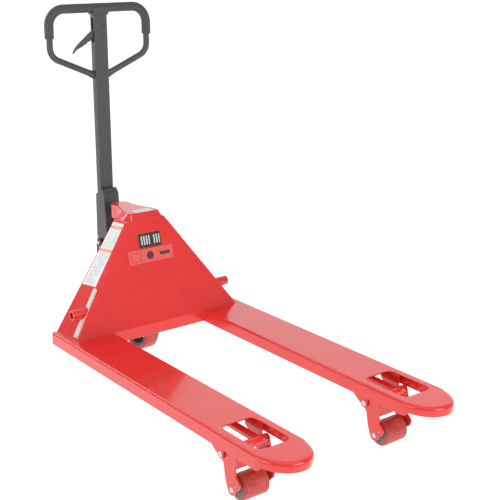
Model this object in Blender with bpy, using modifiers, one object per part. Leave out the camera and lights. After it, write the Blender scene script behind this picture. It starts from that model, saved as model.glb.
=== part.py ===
"""Hand pallet jack with welded forks, steering pump head, pump handle and lifting linkage.

Metres, +Z up.  Fork tips point along +X, the operator stands at -X, and +Y is the left fork.
The jack stands on its wheels with the forks fully raised.  Inside this file X is measured from
the rear end of the forks; the "chassis_origin" empty then centres the whole jack on the origin.
"""
import math

import bmesh
import bpy
from mathutils import Matrix, Vector

# ---------------------------------------------------------------- driving dimensions
GAP = 0.0003                 # between pieces that touch
LIFT = 0.110                 # how far the forks drop from the raised pose

FORK_LENGTH = 1.187
OVERALL_WIDTH = 0.685
FORK_WIDTH = 0.162
FORK_TOP = 0.197
SKIRT_BOTTOM = 0.156
NOSE_SKIRT_BOTTOM = 0.169
NOSE_START = 1.085
SHEET = 0.005
SEAT = 0.0005                # the forks' tops are this much lower under the housing
SEAT_END = 0.1305
FORK_EDGE_RADIUS = 0.009
FORK_Y = (OVERALL_WIDTH - FORK_WIDTH) / 2
WINDOW_X = (0.905, 1.074)    # opening over the load roller
WINDOW_HALF_WIDTH = 0.053

PLATE = 0.006                # front plate thickness
HOUSING_TOP = 0.540
FRONT_FOOT_X = 0.130
FRONT_HEAD_X = 0.050
FOOT_HALF_WIDTH = 0.316
HEAD_HALF_WIDTH = 0.072
APRON_X = 0.1285

STEER_X = -0.118             # steering axis, which is also the ram's axis
CAP_TOP = 0.562
TONGUE_TIP_X = -0.142
TONGUE_BOTTOM = 0.515

STEER_WHEEL_RADIUS = 0.090
STEER_WHEEL_SIDES = 40
STEER_WHEEL_Y = 0.081
STEER_AXLE_X = -0.140
STEER_AXLE_Z = STEER_WHEEL_RADIUS * math.cos(math.pi / STEER_WHEEL_SIDES)

ROLLER_RADIUS = 0.0375
ROLLER_SIDES = 32
ROLLER_AXLE_X = 0.963
ROLLER_AXLE_Z = ROLLER_RADIUS * math.cos(math.pi / ROLLER_SIDES)
FRAME_PIVOT = (0.921, 0.128)     # load frame pivot, X and Z
FRAME_PIN = 0.0088
ROLLER_AXLE = 0.0083
ROD_JOINT = (0.964, 0.155)       # where the push rod pulls on the load frame
ROD_LEVEL = 0.024                # push rod half spread, centre gap side at 19 mm

ROCKER_PIVOT = (0.080, 0.270)
RING_SHIFT = 0.004               # the ring starts this far ahead of the steering axis
RING_X = STEER_X + RING_SHIFT
LEVER_Y = 0.2315

HANDLE_PIVOT = (-0.205, 0.405)
SHAFT_X = (-0.228, -0.200)
SHAFT_HALF_WIDTH = 0.025
HANDLE_ROLLER_ARM = 0.026
HANDLE_TILT = math.radians(75)
LOOP_X = -0.214
GRIP_RADIUS = 0.0155
HANDLE_TOP = 1.236
LEVER_PIN = (0.014, 1.155)       # Y and Z of the control lever's pin

# ---------------------------------------------------------------- worked out from them
RING_ARM = math.hypot(ROCKER_PIVOT[0] - RING_X, LIFT / 2)
ROCKER_ANGLE = math.asin(LIFT / 2 / RING_ARM)
AXLE_ARM = Vector((ROLLER_AXLE_X - FRAME_PIVOT[0], ROLLER_AXLE_Z - FRAME_PIVOT[1]))
ROD_ARM = Vector((ROD_JOINT[0] - FRAME_PIVOT[0], ROD_JOINT[1] - FRAME_PIVOT[1]))
FRAME_TURN = (math.asin((LIFT + ROLLER_AXLE_Z - FRAME_PIVOT[1]) / AXLE_ARM.length)
              - math.atan2(AXLE_ARM.y, AXLE_ARM.x))
ROD_ANGLE = math.atan2(ROD_ARM.y, ROD_ARM.x)
ROD_TRAVEL = ROD_ARM.length * (math.cos(ROD_ANGLE) - math.cos(ROD_ANGLE + FRAME_TURN))
LEVER_LENGTH = ROD_TRAVEL / 2 / math.sin(ROCKER_ANGLE)
LEVER_END = (ROCKER_PIVOT[0] + LEVER_LENGTH * math.sin(ROCKER_ANGLE),
             ROCKER_PIVOT[1] - LEVER_LENGTH * math.cos(ROCKER_ANGLE))
HANDLE_ROLLER = (HANDLE_PIVOT[0] - HANDLE_ROLLER_ARM * math.cos(HANDLE_TILT / 2),
                 HANDLE_PIVOT[1] + HANDLE_ROLLER_ARM * math.sin(HANDLE_TILT / 2))
PLUNGER_STROKE = 2 * HANDLE_ROLLER_ARM * math.sin(HANDLE_TILT / 2)
PLUNGER_X = HANDLE_ROLLER[0] - 0.0025
PUMP_REAR = PLUNGER_X - 0.0195
CENTRE_X = (FORK_LENGTH + PUMP_REAR) / 2

# ---------------------------------------------------------------- scene and materials
for old in list(bpy.data.objects):
    bpy.data.objects.remove(old, do_unlink=True)
PARTS = bpy.data.collections.new("pallet_jack")
CUTTERS = bpy.data.collections.new("cutters")
bpy.context.scene.collection.children.link(PARTS)
bpy.context.scene.collection.children.link(CUTTERS)


def linear(channel):
    return channel / 12.92 if channel <= 0.04045 else ((channel + 0.055) / 1.055) ** 2.4


def material(name, colour, roughness, metallic=0.0):
    made = bpy.data.materials.new(name)
    made.use_nodes = True
    shader = made.node_tree.nodes["Principled BSDF"]
    rgb = [linear(int(colour[i:i + 2], 16) / 255) for i in (0, 2, 4)]
    shader.inputs["Base Color"].default_value = (*rgb, 1)
    shader.inputs["Roughness"].default_value = roughness
    shader.inputs["Metallic"].default_value = metallic
    return made


RED = material("red_paint", "E0302E", 0.35)
GREY = material("dark_grey_paint", "55565A", 0.45)
ZINC = material("zinc_steel", "C9CFCC", 0.3, 1.0)
CHROME = material("chrome_ram", "D8DADC", 0.12, 1.0)
POLYURETHANE = material("red_polyurethane", "C2463C", 0.5)
HUB_GREY = material("hub_grey", "7D7772", 0.5)
CAST_DARK = material("dark_casting", "3F4043", 0.55)
GRIP = material("grip_plastic", "57585C", 0.55)


# ---------------------------------------------------------------- modelling helpers
def pivot(name, x, z, y=0.0, turn=0.0, parent=None):
    """Empty on a joint's axis; its pieces are parented to it."""
    empty = bpy.data.objects.new(name, None)
    PARTS.objects.link(empty)
    empty["at"] = (x, y, z)
    if parent:
        empty.parent = parent
        home = Vector(parent["at"])
        empty.location = Vector((x, y, z)) - home
    empty.rotation_euler = (0, turn, 0)
    return empty


def put(name, mesh, holder, look):
    """Object for a mesh whose points are given in fork coordinates, or in a turned holder's own."""
    made = bpy.data.objects.new(name, mesh)
    PARTS.objects.link(made)
    mesh.materials.append(look)
    made.parent = holder
    if not any(holder.rotation_euler):
        mesh.transform(Matrix.Translation(-Vector(holder["at"])))
    return made


LAY = {"Z": Matrix.Identity(4),
       "Y": Matrix.Rotation(math.pi / 2, 4, "X"),
       "X": Matrix.Rotation(math.pi / 2, 4, "Z") @ Matrix.Rotation(math.pi / 2, 4, "X")}


def mesh_from(shape):
    mesh = bpy.data.meshes.new("shape")
    shape.to_mesh(mesh)
    shape.free()
    return mesh


def box_mesh(low, high):
    shape = bmesh.new()
    bmesh.ops.create_cube(shape, size=1)
    for v in shape.verts:
        v.co = Vector([low[i] if v.co[i] < 0 else high[i] for i in range(3)])
    return mesh_from(shape)


def slab_mesh(corner):
    """Box whose eight corners come from corner(i, j, k), each 0 or 1 along X, Y and Z."""
    shape = bmesh.new()
    bmesh.ops.create_cube(shape, size=1)
    for v in shape.verts:
        v.co = Vector(corner(*[int(c > 0) for c in v.co]))
    return mesh_from(shape)


def bar_mesh(centre, axis, length, radius, sides=24):
    """Solid round bar with a flat of its outline at the bottom."""
    shape = bmesh.new()
    bmesh.ops.create_cone(shape, cap_ends=True, segments=sides, radius1=radius, radius2=radius, depth=length)
    mesh = mesh_from(shape)
    mesh.transform(Matrix.Rotation(math.pi / sides, 4, "Z"))
    mesh.transform(Matrix.Translation(centre) @ LAY[axis])
    return mesh


def outline_mesh(outlines, thickness, axis, centre=(0, 0, 0)):
    """Flat plate from closed outlines; those after the first are holes."""
    curve = bpy.data.curves.new("outline", "CURVE")
    curve.dimensions = "2D"
    curve.fill_mode = "BOTH"
    curve.extrude = thickness / 2
    for points in outlines:
        spline = curve.splines.new("POLY")
        spline.points.add(len(points) - 1)
        for point, (u, v) in zip(spline.points, points):
            point.co = (u, v, 0, 1)
        spline.use_cyclic_u = True
    return curve_mesh(curve, Matrix.Translation(centre) @ LAY[axis])


def curve_mesh(curve, place):
    carrier = bpy.data.objects.new("carrier", curve)
    CUTTERS.objects.link(carrier)
    graph = bpy.context.evaluated_depsgraph_get()
    mesh = bpy.data.meshes.new_from_object(carrier.evaluated_get(graph))
    bpy.data.objects.remove(carrier, do_unlink=True)
    shape = bmesh.new()
    shape.from_mesh(mesh)
    bmesh.ops.remove_doubles(shape, verts=shape.verts, dist=1e-5)
    bmesh.ops.recalc_face_normals(shape, faces=shape.faces)
    shape.to_mesh(mesh)
    shape.free()
    mesh.transform(place)
    return mesh


def turned(name, centre, axis, profile, holder, look, sides=32):
    """Ring turned about an axis; profile is a closed loop of (radius, distance along the axis)."""
    mesh = bpy.data.meshes.new(name)
    points = [(r, 0, t) for r, t in profile]
    edges = [(i, (i + 1) % len(points)) for i in range(len(points))]
    mesh.from_pydata(points, edges, [])
    made = bpy.data.objects.new(name, mesh)
    PARTS.objects.link(made)
    screw = made.modifiers.new("turn", "SCREW")
    screw.axis = "Z"
    screw.steps = screw.render_steps = sides
    screw.use_merge_vertices = True
    screw.merge_threshold = 1e-5
    screw.use_normal_calculate = True
    graph = bpy.context.evaluated_depsgraph_get()
    solid = bpy.data.meshes.new_from_object(made.evaluated_get(graph))
    bpy.data.objects.remove(made, do_unlink=True)
    shape = bmesh.new()
    shape.from_mesh(solid)
    bmesh.ops.remove_doubles(shape, verts=shape.verts, dist=1e-6)
    bmesh.ops.recalc_face_normals(shape, faces=shape.faces)
    shape.to_mesh(solid)
    shape.free()
    solid.transform(Matrix.Rotation(math.pi / sides, 4, "Z"))
    solid.transform(Matrix.Translation(centre) @ LAY[axis])
    return put(name, solid, holder, look)


def tool(target, mesh, operation):
    """Cuts a mesh from target or joins it on, with a Boolean modifier."""
    cutter = bpy.data.objects.new(target.name + "_" + operation.lower(), mesh)
    CUTTERS.objects.link(cutter)
    cutter.hide_render = True
    cutter.display_type = "WIRE"
    cutter.parent = target.parent
    if not any(target.parent.rotation_euler):
        mesh.transform(Matrix.Translation(-Vector(target.parent["at"])))
    step = target.modifiers.new(operation.lower(), "BOOLEAN")
    step.operation = operation
    step.object = cutter
    return target


def cut(target, mesh):
    return tool(target, mesh, "DIFFERENCE")


def join(target, mesh):
    return tool(target, mesh, "UNION")


def soften(target, width, segments=2, angle=35):
    bevel = target.modifiers.new("soften", "BEVEL")
    bevel.width = width
    bevel.segments = segments
    bevel.limit_method = "ANGLE"
    bevel.angle_limit = math.radians(angle)
    return target


def arc(centre, radius, start, end, steps):
    """Points on an arc, angles in degrees."""
    angles = [math.radians(start + (end - start) * i / steps) for i in range(steps + 1)]
    return [(centre[0] + radius * math.cos(a), centre[1] + radius * math.sin(a)) for a in angles]


def rounded(corners, radius, steps=4):
    """Closed outline with every corner turned into an arc; a radius may be given per corner."""
    points = []
    radii = radius if isinstance(radius, (list, tuple)) else [radius] * len(corners)
    for i, corner in enumerate(corners):
        here = Vector(corner)
        back = (Vector(corners[i - 1]) - here).normalized()
        ahead = (Vector(corners[(i + 1) % len(corners)]) - here).normalized()
        half = back.angle(ahead) / 2
        reach = radii[i] / math.tan(half)
        centre = here + (back + ahead).normalized() * radii[i] / math.sin(half)
        start = here + back * reach - centre
        end = here + ahead * reach - centre
        swing = start.angle_signed(end)
        for k in range(steps + 1):
            spin = Matrix.Rotation(-swing * k / steps, 2)
            points.append(tuple(centre + spin @ start))
    return points


def link_outline(one, radius_one, two, radius_two, steps=8):
    """Outline of a bar with round ends."""
    run = Vector(two) - Vector(one)
    heading = math.degrees(math.atan2(run.y, run.x))
    lean = math.degrees(math.asin((radius_one - radius_two) / run.length))
    first = arc(one, radius_one, heading + 90 - lean, heading + 270 + lean, steps)
    second = arc(two, radius_two, heading - 90 + lean, heading + 90 - lean, steps)
    return first + second


# ---------------------------------------------------------------- bodies
ORIGIN = pivot("chassis_origin", 0, 0)
ORIGIN.location = (-CENTRE_X, 0, 0)
STEERING = pivot("steering_axis", STEER_X, 0, parent=ORIGIN)
PUMP = pivot("pump_axis", STEER_X, 0, parent=STEERING)
STEER_AXLE = pivot("steer_axle_axis", STEER_AXLE_X, STEER_AXLE_Z, parent=PUMP)
HANDLE = pivot("handle_axis", *HANDLE_PIVOT, parent=PUMP)
LEVER = pivot("control_lever_axis", LOOP_X, LEVER_PIN[1], LEVER_PIN[0], parent=HANDLE)
PLUNGER = pivot("plunger_axis", PLUNGER_X, 0, parent=PUMP)
ROCKER = pivot("rocker_axis", *ROCKER_PIVOT, turn=-ROCKER_ANGLE, parent=ORIGIN)
SIDES = {"left": 1, "right": -1}


# ---------------------------------------------------------------- chassis
def fork_outline(inset, rear):
    half = FORK_WIDTH / 2 - inset
    reach = FORK_LENGTH - NOSE_START - inset
    steps = 16
    nose = []
    for i in range(steps + 1):
        angle = math.pi * (i / steps - 0.5)
        nose.append((NOSE_START + reach * math.cos(angle), half * math.sin(angle)))
    return [(rear, -half)] + nose + [(rear, half)]


def fork(name, side):
    """Pressed channel with rolled edges, a round nose and the window over the roller."""
    y = side * FORK_Y
    over = 0.03
    outer = outline_mesh([fork_outline(0, -over)], FORK_TOP - SKIRT_BOTTOM + over, "Z",
                         (0, y, (FORK_TOP + SKIRT_BOTTOM - over) / 2))
    made = put(name, outer, ORIGIN, RED)
    soften(made, FORK_EDGE_RADIUS, 3)
    trim = [(-2 * over, 0.10), (1.3, 0.10), (1.3, NOSE_SKIRT_BOTTOM), (1.112, NOSE_SKIRT_BOTTOM),
            (1.095, SKIRT_BOTTOM), (0, SKIRT_BOTTOM), (0, 0.25), (-2 * over, 0.25)]
    cut(made, outline_mesh([trim], 0.3, "Y", (0, y, 0)))
    under = FORK_TOP - SHEET
    cut(made, outline_mesh([fork_outline(SHEET, -over)], under - 0.10, "Z", (0, y, (under + 0.10) / 2)))
    cut(made, box_mesh((-0.02, y - 0.1, FORK_TOP - SEAT), (SEAT_END, y + 0.1, FORK_TOP + 0.01)))
    near, far = WINDOW_X
    half = WINDOW_HALF_WIDTH
    corners = [(near, -half), (far, -half), (far, half), (near, half)]
    cut(made, outline_mesh([rounded(corners, 0.02)], 0.03, "Z", (0, y, FORK_TOP)))
    inward = side * LEVER_Y
    cut(made, box_mesh((0.036, inward - 0.007, 0.185), (0.119, inward + 0.007, 0.2)))
    return made


for word, way in SIDES.items():
    fork("fork_" + word, way)


def front_x(z):
    lean = (FRONT_FOOT_X - FRONT_HEAD_X) / (HOUSING_TOP - FORK_TOP)
    return FRONT_FOOT_X - lean * (z - FORK_TOP)


def front_plate():
    levels = (FORK_TOP - SEAT + GAP, HOUSING_TOP)
    widths = (FOOT_HALF_WIDTH, HEAD_HALF_WIDTH)

    def corner(i, j, k):
        z = levels[k]
        return front_x(z) - PLATE * (1 - i), widths[k] * (2 * j - 1), z

    return put("front_plate", slab_mesh(corner), ORIGIN, RED)


def side_plate(name, side):
    """Leaning panel behind the front plate, with a hole for the pivot boss."""
    levels = (FORK_TOP - SEAT + GAP, HOUSING_TOP)
    rear = ((-0.003, 0.323), (-0.023, 0.0757))
    wall = SHEET * 1.22

    def corner(i, j, k):
        z = levels[k]
        if i:
            x, outer = front_x(z) - PLATE - GAP, (FOOT_HALF_WIDTH, HEAD_HALF_WIDTH)[k]
        else:
            x, outer = rear[k]
        inner = outer - wall
        y = side * (outer if (j == 1) == (side > 0) else inner)
        return x, y, z

    made = put(name, slab_mesh(corner), ORIGIN, RED)
    x, z = ROCKER_PIVOT
    return cut(made, bar_mesh((x, side * 0.3, z), "Y", 0.2, 0.0164))


def pivot_boss(name, side):
    x, z = ROCKER_PIVOT
    low, high = 0.2395, 0.310
    profile = [(0.016, low), (0.016, high), (0.0115, high), (0.0115, low)]
    return turned(name, (x, 0, z), "Y", [(r, -side * t) for r, t in profile], ORIGIN, RED, 24)


def front_apron():
    half = FORK_Y - FORK_WIDTH / 2 - GAP
    low = (APRON_X - PLATE, -half, 0.157)
    high = (APRON_X, half, FORK_TOP - SEAT)
    return soften(put("front_apron", box_mesh(low, high), ORIGIN, RED), 0.001, 1)


def top_cap():
    """Head of the housing, with a hooded tongue that the ram pushes up against."""
    levels = (HOUSING_TOP + GAP, CAP_TOP)

    def corner(i, j, k):
        x = ((-0.024, 0.0505), (-0.018, 0.043))[k][i]
        return x, (0.0745, 0.058)[k] * (2 * j - 1), levels[k]

    made = put("top_cap", slab_mesh(corner), ORIGIN, RED)
    half = [(0.0, 0.050), (-0.016, 0.050), (-0.024, 0.045), (-0.034, 0.038), (-0.050, 0.0345)]
    tip = arc((TONGUE_TIP_X + 0.030, 0), 0.030, 90, 180, 5)
    edge = half + [(x, y * 1.1) for x, y in tip]
    tongue = edge + [(x, -y) for x, y in reversed(edge[:-1])]
    middle = (CAP_TOP + TONGUE_BOTTOM) / 2
    join(made, outline_mesh([tongue], CAP_TOP - TONGUE_BOTTOM, "Z", (0, 0, middle)))
    pocket = [(-0.034, 0.029)] + arc((TONGUE_TIP_X + 0.030, 0), 0.0265, 90, 180, 5)
    pocket = pocket + [(x, -y) for x, y in reversed(pocket[:-1])]
    cut(made, outline_mesh([pocket], 0.046, "Z", (0, 0, CAP_TOP - 0.006 - 0.023)))
    under = box_mesh((-0.0345, -0.1, 0.50), (0.02, 0.1, HOUSING_TOP + GAP))
    return cut(made, under)


front_plate()
front_apron()
top_cap()
for word, way in SIDES.items():
    side_plate("side_plate_" + word, way)
    pivot_boss("pivot_boss_" + word, way)


def frame_lug(name, y):
    """Ear under the fork top that carries the load frame pin."""
    x, z = FRAME_PIVOT
    top = FORK_TOP - SHEET - GAP
    outline = [(0.858, top), (0.862, 0.157), (0.874, 0.147)] + arc((x, z), 0.0135, 200, 350, 8) + [(0.938, top)]
    made = put(name, outline_mesh([outline], 0.0055, "Y", (0, y, 0)), ORIGIN, RED)
    return cut(made, bar_mesh((x, y, z), "Y", 0.05, FRAME_PIN + GAP, 20))


for word, way in SIDES.items():
    for place, reach in (("inner", -1), ("outer", 1)):
        frame_lug(f"lug_{word}_{place}", way * (FORK_Y + reach * 0.0637))
    pin = bar_mesh((FRAME_PIVOT[0], way * FORK_Y, FRAME_PIVOT[1]), "Y", 0.136, FRAME_PIN, 20)
    put("load_frame_pin_" + word, pin, ORIGIN, ZINC)


# ---------------------------------------------------------------- load frames and rollers
def load_frame(name, side, holder):
    """Two side plates joined by a web; swings the roller down as the push rod moves forward."""
    centre = side * FORK_Y
    px, pz = FRAME_PIVOT
    jx, jz = ROD_JOINT
    outline = (arc((px, pz), 0.0150, 205, 115, 4) + arc((jx, jz), 0.0130, 110, 0, 4)
               + [(0.9825, 0.138), (0.9830, 0.121), (0.9768, 0.103), (0.9800, 0.082), (0.9930, 0.072),
                  (0.9990, 0.064), (0.9940, 0.048), (0.9840, 0.040)]
               + arc((ROLLER_AXLE_X - 0.002, ROLLER_AXLE_Z - 0.002), 0.0150, -40, -160, 5)
               + [(0.9390, 0.046), (0.9320, 0.072), (0.9262, 0.1025)])
    holes = [arc(FRAME_PIVOT, FRAME_PIN + GAP, 9, 351, 19), arc(ROD_JOINT, 0.0073, 9, 351, 19),
             arc((ROLLER_AXLE_X, ROLLER_AXLE_Z), ROLLER_AXLE + GAP, 9, 351, 19)]
    plates = [outline_mesh([outline] + holes, 0.0057, "Y", (0, centre + s * 0.05735, 0)) for s in (-1, 1)]
    made = put(name, plates[0], holder, RED)
    web = [(jx + 0.002, jz - 0.020), (jx + 0.010, jz - 0.020), (jx + 0.017, jz - 0.052), (jx + 0.009, jz - 0.052)]
    join(made, outline_mesh([web], 0.1125, "Y", (0, centre, 0)))
    return join(made, plates[1])


def roller(word, side, holder):
    place = (ROLLER_AXLE_X, side * FORK_Y, ROLLER_AXLE_Z)
    bore = ROLLER_AXLE + GAP
    core = [(0.0300, -0.0425), (0.0300, 0.0425), (0.0240, 0.0425), (0.0225, 0.0400), (0.0140, 0.0400),
            (0.0130, 0.0538), (bore, 0.0538), (bore, -0.0538), (0.0130, -0.0538), (0.0140, -0.0400),
            (0.0225, -0.0400), (0.0240, -0.0425)]
    turned("roller_core_" + word, place, "Y", core, holder, HUB_GREY, ROLLER_SIDES)
    inner, outer, half, edge = 0.0303, ROLLER_RADIUS, 0.0415, 0.0045
    tread = [(inner, half), (outer - edge, half), (outer, half - edge), (outer, edge - half),
             (outer - edge, -half), (inner, -half)]
    turned("roller_tread_" + word, place, "Y", tread, holder, POLYURETHANE, ROLLER_SIDES)


def push_rod(name, side, holder):
    """Two flat bars from a cross tube at the load frame back to a clevis on the rocker lever.

    The clevis holes are taller than the lever's pin, because the rod stays nearly level while the
    load frame lifts its front end; that is the linkage's one open pivot.
    """
    centre = side * FORK_Y
    jx, jz = ROD_JOINT
    ex, ez = LEVER_END
    tube = [arc(ROD_JOINT, 0.0125, 7.5, 352.5, 23), arc(ROD_JOINT, 0.0073, 9, 351, 19)]
    made = put(name, outline_mesh(tube, 0.1072, "Y", (0, centre, 0)), holder, RED)
    slope = (ez - jz) / (ex - jx)
    rear = 0.152

    def line(x):
        return jz + slope * (x - jx)

    for s in (-1, 1):
        bar = [(rear, line(rear) - 0.006), (jx - 0.009, jz - 0.006), (jx - 0.009, jz + 0.006),
               (rear, line(rear) + 0.006)]
        join(made, outline_mesh([bar], ROD_LEVEL, "Y", (0, centre + s * 0.031, 0)))
    tie = [(rear - 0.004, line(rear) - 0.010), (0.176, line(0.176) - 0.010), (0.176, line(0.176) + 0.010),
           (rear - 0.004, line(rear) + 0.010)]
    join(made, outline_mesh([tie], 0.090, "Y", (0, centre, 0)))
    high, low = ez + 0.0130, ez - 0.0285
    back = ex - 0.0165
    eye = rounded([(back, low), (rear, low), (rear, high), (back, high)], [0.008, 0.001, 0.001, 0.008])
    hole = rounded([(ex - 0.0118, ez - 0.0236), (ex + 0.0082, ez - 0.0236), (ex + 0.0082, ez + 0.0080),
                    (ex - 0.0118, ez + 0.0080)], 0.006)
    for s in (-1, 1):
        ear = outline_mesh([eye, hole], 0.008, "Y", (0, side * LEVER_Y + s * 0.0105, 0))
        join(made, ear)
    return made


for word, way in SIDES.items():
    frame_axis = pivot("load_frame_axis_" + word, *FRAME_PIVOT, way * FORK_Y, parent=ORIGIN)
    roller_axis = pivot("roller_axis_" + word, ROLLER_AXLE_X, ROLLER_AXLE_Z, way * FORK_Y, parent=frame_axis)
    rod_axis = pivot("push_rod_axis_" + word, *ROD_JOINT, way * FORK_Y, parent=frame_axis)
    load_frame("load_frame_" + word, way, frame_axis)
    put("rod_pin_" + word, bar_mesh((ROD_JOINT[0], way * FORK_Y, ROD_JOINT[1]), "Y", 0.1208, 0.007, 20),
        frame_axis, ZINC)
    put("roller_axle_" + word, bar_mesh((ROLLER_AXLE_X, way * FORK_Y, ROLLER_AXLE_Z), "Y", 0.1230, ROLLER_AXLE, 20),
        frame_axis, ZINC)
    roller(word, way, roller_axis)
    push_rod("push_rod_" + word, way, rod_axis)


# ---------------------------------------------------------------- rocker
def rocker_yoke():
    """Gooseneck arms from the cross shaft to the ring around the pump; drawn level."""
    ring = [arc((-RING_ARM, 0), 0.046, 5, 355, 35), arc((-RING_ARM, 0), 0.034, 5, 355, 35)]
    made = put("rocker_yoke", outline_mesh(ring, 0.016, "Z"), ROCKER, RED)
    neck = [(-0.168, -0.0075), (-0.168, 0.0075), (-0.150, 0.0150), (-0.088, 0.0440), (-0.066, 0.0440),
            (0.0, 0.0160), (0.0, -0.0160), (-0.028, -0.0130), (-0.072, 0.0240), (-0.088, 0.0250),
            (-0.150, 0.0045)]
    for s in (-1, 1):
        join(made, outline_mesh([neck], 0.012, "Y", (0, s * 0.024, 0)))
    join(made, bar_mesh((0, 0, 0), "Y", 0.200, 0.018))
    return cut(made, bar_mesh((0, 0, 0), "Y", 0.3, 0.0103))


def rocker_lever(name, side):
    outline = link_outline((0, 0), 0.0165, (0, -LEVER_LENGTH), 0.0125)
    holes = [arc((0, 0), 0.0103, 7.5, 352.5, 23), arc((0, -LEVER_LENGTH), 0.0073, 9, 351, 19)]
    return put(name, outline_mesh([outline] + holes, 0.010, "Y", (0, side * LEVER_Y, 0)), ROCKER, RED)


rocker_yoke()
put("rocker_shaft", bar_mesh((0, 0, 0), "Y", 0.560, 0.010), ROCKER, ZINC)
for word, way in SIDES.items():
    rocker_lever("rocker_lever_" + word, way)
    put("lever_end_pin_" + word, bar_mesh((0, way * LEVER_Y, -LEVER_LENGTH), "Y", 0.033, 0.007, 20), ROCKER, ZINC)


# ---------------------------------------------------------------- steering, ram and pump
RAM_BORE = 0.0176
BASE_LOW, BASE_HIGH = 0.249, 0.300
CYLINDER_TOP = 0.385
HOUSING_OF_PLUNGER_TOP = 0.345
ram_profile = [(0.0, 0.5555), (0.012, 0.5545), (0.0170, 0.5510), (0.0190, 0.5440), (0.0190, 0.5350),
               (0.0170, 0.5300), (0.0170, 0.3140), (0.0150, 0.3120), (0.0, 0.3120)]
turned("ram", (STEER_X, 0, 0), "Z", ram_profile, STEERING, CHROME, 32)


def pump_base():
    """Casting that carries the cylinder, the plunger housing and the two handle ears."""
    front, rear, half = STEER_X + 0.048, PUMP_REAR, 0.041
    block = rounded([(rear, -0.024), (-0.19, -half), (front, -half), (front, half), (-0.19, half), (rear, 0.024)],
                    [0.014, 0.02, 0.03, 0.03, 0.02, 0.014])
    made = put("pump_base", outline_mesh([block], BASE_HIGH - BASE_LOW, "Z", (0, 0, (BASE_LOW + BASE_HIGH) / 2)),
               PUMP, RED)
    px, pz = HANDLE_PIVOT
    ear = [(-0.222, BASE_HIGH - 0.02), (-0.170, BASE_HIGH - 0.02)] + arc(HANDLE_PIVOT, 0.015, 0, 180, 8)
    for s in (-1, 1):
        join(made, outline_mesh([ear], 0.009, "Y", (0, s * 0.0360, 0)))
    cut(made, bar_mesh((px, 0, pz), "Y", 0.1, 0.0073, 20))
    cut(made, bar_mesh((STEER_X, 0, BASE_LOW), "Z", 0.2, RAM_BORE, 32))
    return cut(made, bar_mesh((PLUNGER_X, 0, 0.30), "Z", 0.05, 0.0088, 20))


def axle_housing():
    """Column under the pump, bored for the ram, with the cross tube for the steer axle."""
    profile = [(0.0, 0.066), (0.026, 0.066), (0.030, 0.072), (0.030, 0.175), (0.022, 0.180), (0.022, 0.2487),
               (RAM_BORE, 0.2487), (RAM_BORE, 0.190), (0.0, 0.190)]
    made = turned("axle_housing", (STEER_X, 0, 0), "Z", profile, PUMP, CAST_DARK, 32)
    join(made, bar_mesh((STEER_AXLE_X, 0, STEER_AXLE_Z), "Y", 0.104, 0.024))
    return cut(made, bar_mesh((STEER_AXLE_X, 0, STEER_AXLE_Z), "Y", 0.3, 0.0104))


pump_base()
axle_housing()
turned("thrust_bearing", (STEER_X, 0, 0), "Z", [(0.038, 0.2487), (0.038, 0.2405), (0.0225, 0.2405),
                                                (0.0225, 0.2487)], PUMP, ZINC, 32)
turned("pump_cylinder", (STEER_X, 0, 0), "Z",
       [(RAM_BORE, CYLINDER_TOP), (0.031, CYLINDER_TOP), (0.034, CYLINDER_TOP - 0.003), (0.034, BASE_HIGH + GAP),
        (RAM_BORE, BASE_HIGH + GAP)], PUMP, RED, 32)
turned("wiper_seal", (STEER_X, 0, 0), "Z",
       [(RAM_BORE, CYLINDER_TOP + 0.008), (0.023, CYLINDER_TOP + 0.007), (0.026, CYLINDER_TOP + GAP),
        (RAM_BORE, CYLINDER_TOP + GAP)], PUMP, CAST_DARK, 32)
turned("plunger_housing", (PLUNGER_X, 0, 0), "Z",
       [(0.0088, HOUSING_OF_PLUNGER_TOP), (0.0145, HOUSING_OF_PLUNGER_TOP), (0.0165, HOUSING_OF_PLUNGER_TOP - 0.002),
        (0.0165, BASE_HIGH + GAP), (0.0088, BASE_HIGH + GAP)], PUMP, RED, 24)

CAP_Z = HANDLE_ROLLER[1] - 0.010 - 0.0009
turned("plunger", (PLUNGER_X, 0, 0), "Z",
       [(0.0, CAP_Z), (0.0125, CAP_Z), (0.0135, CAP_Z - 0.001), (0.0135, CAP_Z - 0.008), (0.0080, CAP_Z - 0.008),
        (0.0080, 0.3100), (0.0, 0.3100)], PLUNGER, ZINC, 24)


def plunger_spring():
    """Coil between the plunger housing and the plunger's cap."""
    turns, wire, radius = 7, 0.0012, 0.0108
    low = HOUSING_OF_PLUNGER_TOP + GAP + wire
    high = CAP_Z - 0.008 - GAP - wire
    count = turns * 12
    curve = bpy.data.curves.new("coil", "CURVE")
    curve.dimensions = "3D"
    curve.bevel_depth = wire
    curve.bevel_resolution = 2
    curve.use_fill_caps = True
    spline = curve.splines.new("POLY")
    spline.points.add(count)
    for i, point in enumerate(spline.points):
        angle = 2 * math.pi * i / 12
        rise = low + (high - low) * i / count
        point.co = (radius * math.cos(angle), radius * math.sin(angle), rise, 1)
    return put("plunger_spring", curve_mesh(curve, Matrix.Translation((PLUNGER_X, 0, 0))), PUMP, ZINC)


plunger_spring()


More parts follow.
